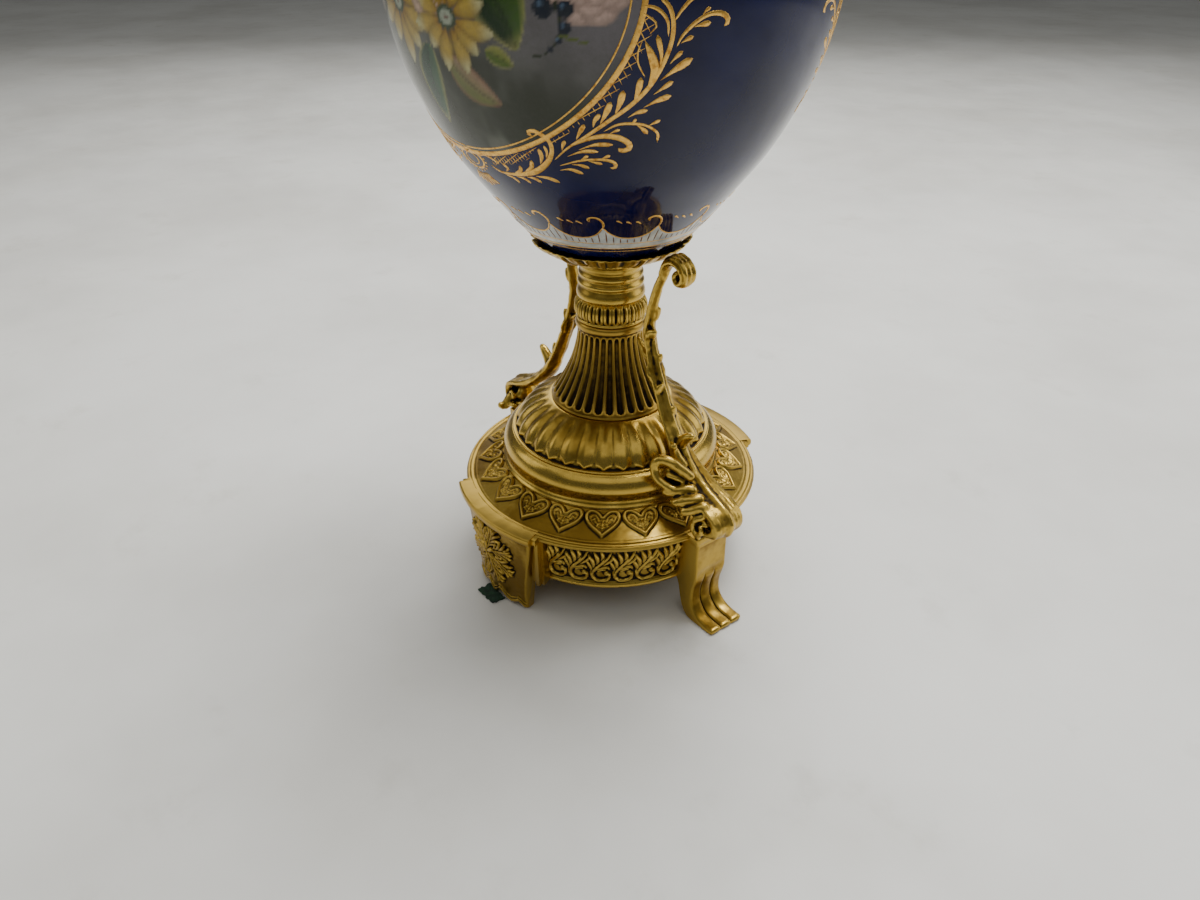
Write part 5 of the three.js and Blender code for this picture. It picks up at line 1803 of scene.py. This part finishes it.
def felt_scrap():
    """A torn, frayed scrap of the felt that once lined the feet, lying under the plaque."""
    low, high = extent("felt_scrap")
    long, wide = 46, 26
    x = np.linspace(low[0], high[0], long)
    y = np.linspace(low[1], high[1], wide)
    grid = np.stack(np.meshgrid(x, y, indexing="ij"), axis=-1).reshape(-1, 2)
    spots = np.column_stack([grid, np.zeros(len(grid))])
    ragged = noise(spots, 1.7, 101)
    rise = 0.5 + 0.35 * noise(spots, 4.0, 102) + 0.1 * ragged
    edge = np.minimum.reduce([grid[:, 0] - low[0], high[0] - grid[:, 0], grid[:, 1] - low[1],
            high[1] - grid[:, 1]])
    pull = 0.16 * np.clip(0.5 + ragged, 0, 1) * smoothstep(3, 0, edge)
    pulled = grid + (np.array([np.mean(x), np.mean(y)]) - grid) * pull[:, None]
    top = np.column_stack([pulled, np.clip(rise + 0.45, 0.5, high[2])])
    under = np.column_stack([pulled, np.full(len(pulled), 0.05)])
    count = len(grid)
    quads = grid_faces(long, wide)
    rim = np.concatenate([
        np.arange(wide), np.arange(1, long) * wide + wide - 1,
        (long - 1) * wide + np.arange(wide - 2, -1, -1), np.arange(long - 2, 0, -1) * wide])
    wall = np.stack([rim, np.roll(rim, -1), np.roll(rim, -1) + count, rim + count], axis=1)
    piece = make_piece("felt_scrap_torn", np.vstack([top, under]), [quads, quads[:, ::-1] + count, wall])
    face_outwards(piece)
    return finish_piece(piece, FELT, "felt_scrap")


# ------------------------------------------------------------------ floor, light and camera
def floor_finish():
    """A pale sheet with faint clouds and smudges."""
    f = Finish("pale_sheet")
    cloud = f.noise(420, 5, 0.6)
    smudge = f.noise(90, 6, 0.65)
    colour = f.mix(f.remap(cloud, 0.35, 0.7), linear(222, 221, 214), linear(206, 204, 196))
    colour = f.mix(f.remap(smudge, 0.56, 0.74, 0.0, 0.4), colour, linear(188, 185, 174))
    f.set(Base_Color=colour, Roughness=f.remap(smudge, 0.3, 0.7, 0.42, 0.6),
            Normal=f.bump(smudge, 0.4, 0.15))
    return f.material


def floor():
    """A broad pale sheet, very slightly uneven."""
    steps, half = 120, 9000.0
    line = np.linspace(-1, 1, steps)
    line = half * np.sign(line) * np.abs(line) ** 2.0
    x, y = np.meshgrid(line, line, indexing="ij")
    far = smoothstep(400, 1500, np.hypot(x, y))
    ripple = noise(np.stack([x.ravel(), y.ravel(), 0 * x.ravel()], axis=1), 700, 121).reshape(x.shape)
    z = -0.3 - 1.5 * far * (1 + ripple)
    piece = make_piece("pale_floor", np.stack([x, y, z], axis=-1).reshape(-1, 3),
            [grid_faces(steps, steps)])
    piece.data.materials.append(floor_finish())
    return piece


def area_light(name, place, aim, size, power):
    """A soft rectangle of white light at a place, turned to its aim."""
    light = bpy.data.lights.new(name, "AREA")
    light.shape = "RECTANGLE"
    light.size, light.size_y = size
    light.energy = power
    holder = bpy.data.objects.new(name, light)
    holder.location = place
    holder.rotation_euler = (Vector(aim) - Vector(place)).to_track_quat("-Z", "Y").to_euler()
    bpy.context.scene.collection.objects.link(holder)
    return holder


def place_beside(right, away, height):
    """A place given from the camera's side: metres to its right, away from it, and up."""
    turn = math.radians(CAMERA_AZIMUTH)
    return (right * math.cos(turn) - away * math.sin(turn), right * math.sin(turn) + away * math.cos(turn),
            height)


def lighting():
    """A dim plain room with one soft light overhead and faint bounces from its walls."""
    world = bpy.data.worlds.new("soft_room")
    world.use_nodes = True
    world.node_tree.nodes["Background"].inputs[0].default_value = (0.86, 0.88, 0.88, 1)
    world.node_tree.nodes["Background"].inputs[1].default_value = 0.15
    bpy.context.scene.world = world
    area_light("overhead_softbox", place_beside(0.35, 0.45, 1.9), (0, 0, 0.1), (1.2, 1.2), 49)
    area_light("right_wall_bounce", place_beside(1.5, 0.3, 0.7), (0, 0, 0.25), (0.9, 1.1), 6)
    area_light("back_wall_bounce", place_beside(0.0, 1.9, 1.25), (0, 0, 0.1), (2.8, 1.1), 20)
    area_light("ceiling_glow", place_beside(0.0, -0.5, 1.5), (0, 0, 0.1), (2.6, 1.8), 10)
    area_light("left_wall_bounce", place_beside(-1.4, 0.2, 0.9), (0, 0, 0.2), (0.7, 1.0), 3)


CAMERA_AZIMUTH = 51.5
CAMERA_REACH = 0.557
CAMERA_HEIGHT = 0.4325
CAMERA_PAN = -0.77
CAMERA_TILT = 32.37
CAMERA_ROLL = -0.20
LENS_MM = 27.03
SENSOR_MM = 36


def camera():
    """The viewing angle from above, a little to the right of the painted front."""
    angles = (CAMERA_AZIMUTH, CAMERA_PAN, CAMERA_TILT, CAMERA_ROLL)
    azimuth, pan, tilt, roll = (math.radians(angle) for angle in angles)
    forward = Vector((math.sin(pan) * math.cos(tilt), math.cos(pan) * math.cos(tilt), -math.sin(tilt)))
    right = Vector((math.cos(pan), -math.sin(pan), 0))
    up = right.cross(forward)
    right, up = (
        right * math.cos(roll) + up * math.sin(roll),
        up * math.cos(roll) - right * math.sin(roll),
    )
    spin = Matrix.Rotation(azimuth, 3, "Z")
    axes = Matrix((spin @ right, spin @ up, spin @ -forward)).transposed()
    lens = bpy.data.cameras.new("camera")
    lens.lens = LENS_MM
    lens.sensor_width = SENSOR_MM
    eye = bpy.data.objects.new("camera", lens)
    eye.matrix_world = Matrix.Translation((CAMERA_REACH * math.sin(azimuth),
            -CAMERA_REACH * math.cos(azimuth), CAMERA_HEIGHT)) @ axes.to_4x4()
    bpy.context.scene.collection.objects.link(eye)
    bpy.context.scene.camera = eye


# ------------------------------------------------------------------ build
camera()
floor()
lighting()
plinth_top()
drum()
plaque("front_plaque", 0)
plaque("back_plaque", 180)
scroll_foot("right_scroll_foot", 90)
scroll_foot("left_scroll_foot", 270)
torus()
gadroons()
stem()
knop_bead()
collar()
leaf_cup()
bracket("right_acanthus_bracket", "bracket_right", 0, -1, True)
bracket("left_acanthus_bracket", "bracket_left", 180, -1, False)
porcelain()
frame_gilding("front_gilding", 0, True)
frame_gilding("back_gilding", 180, False)
wave_border()
mouth_ring()
lid_cover()
lid_gilding()
finial()
scrap = felt_scrap()
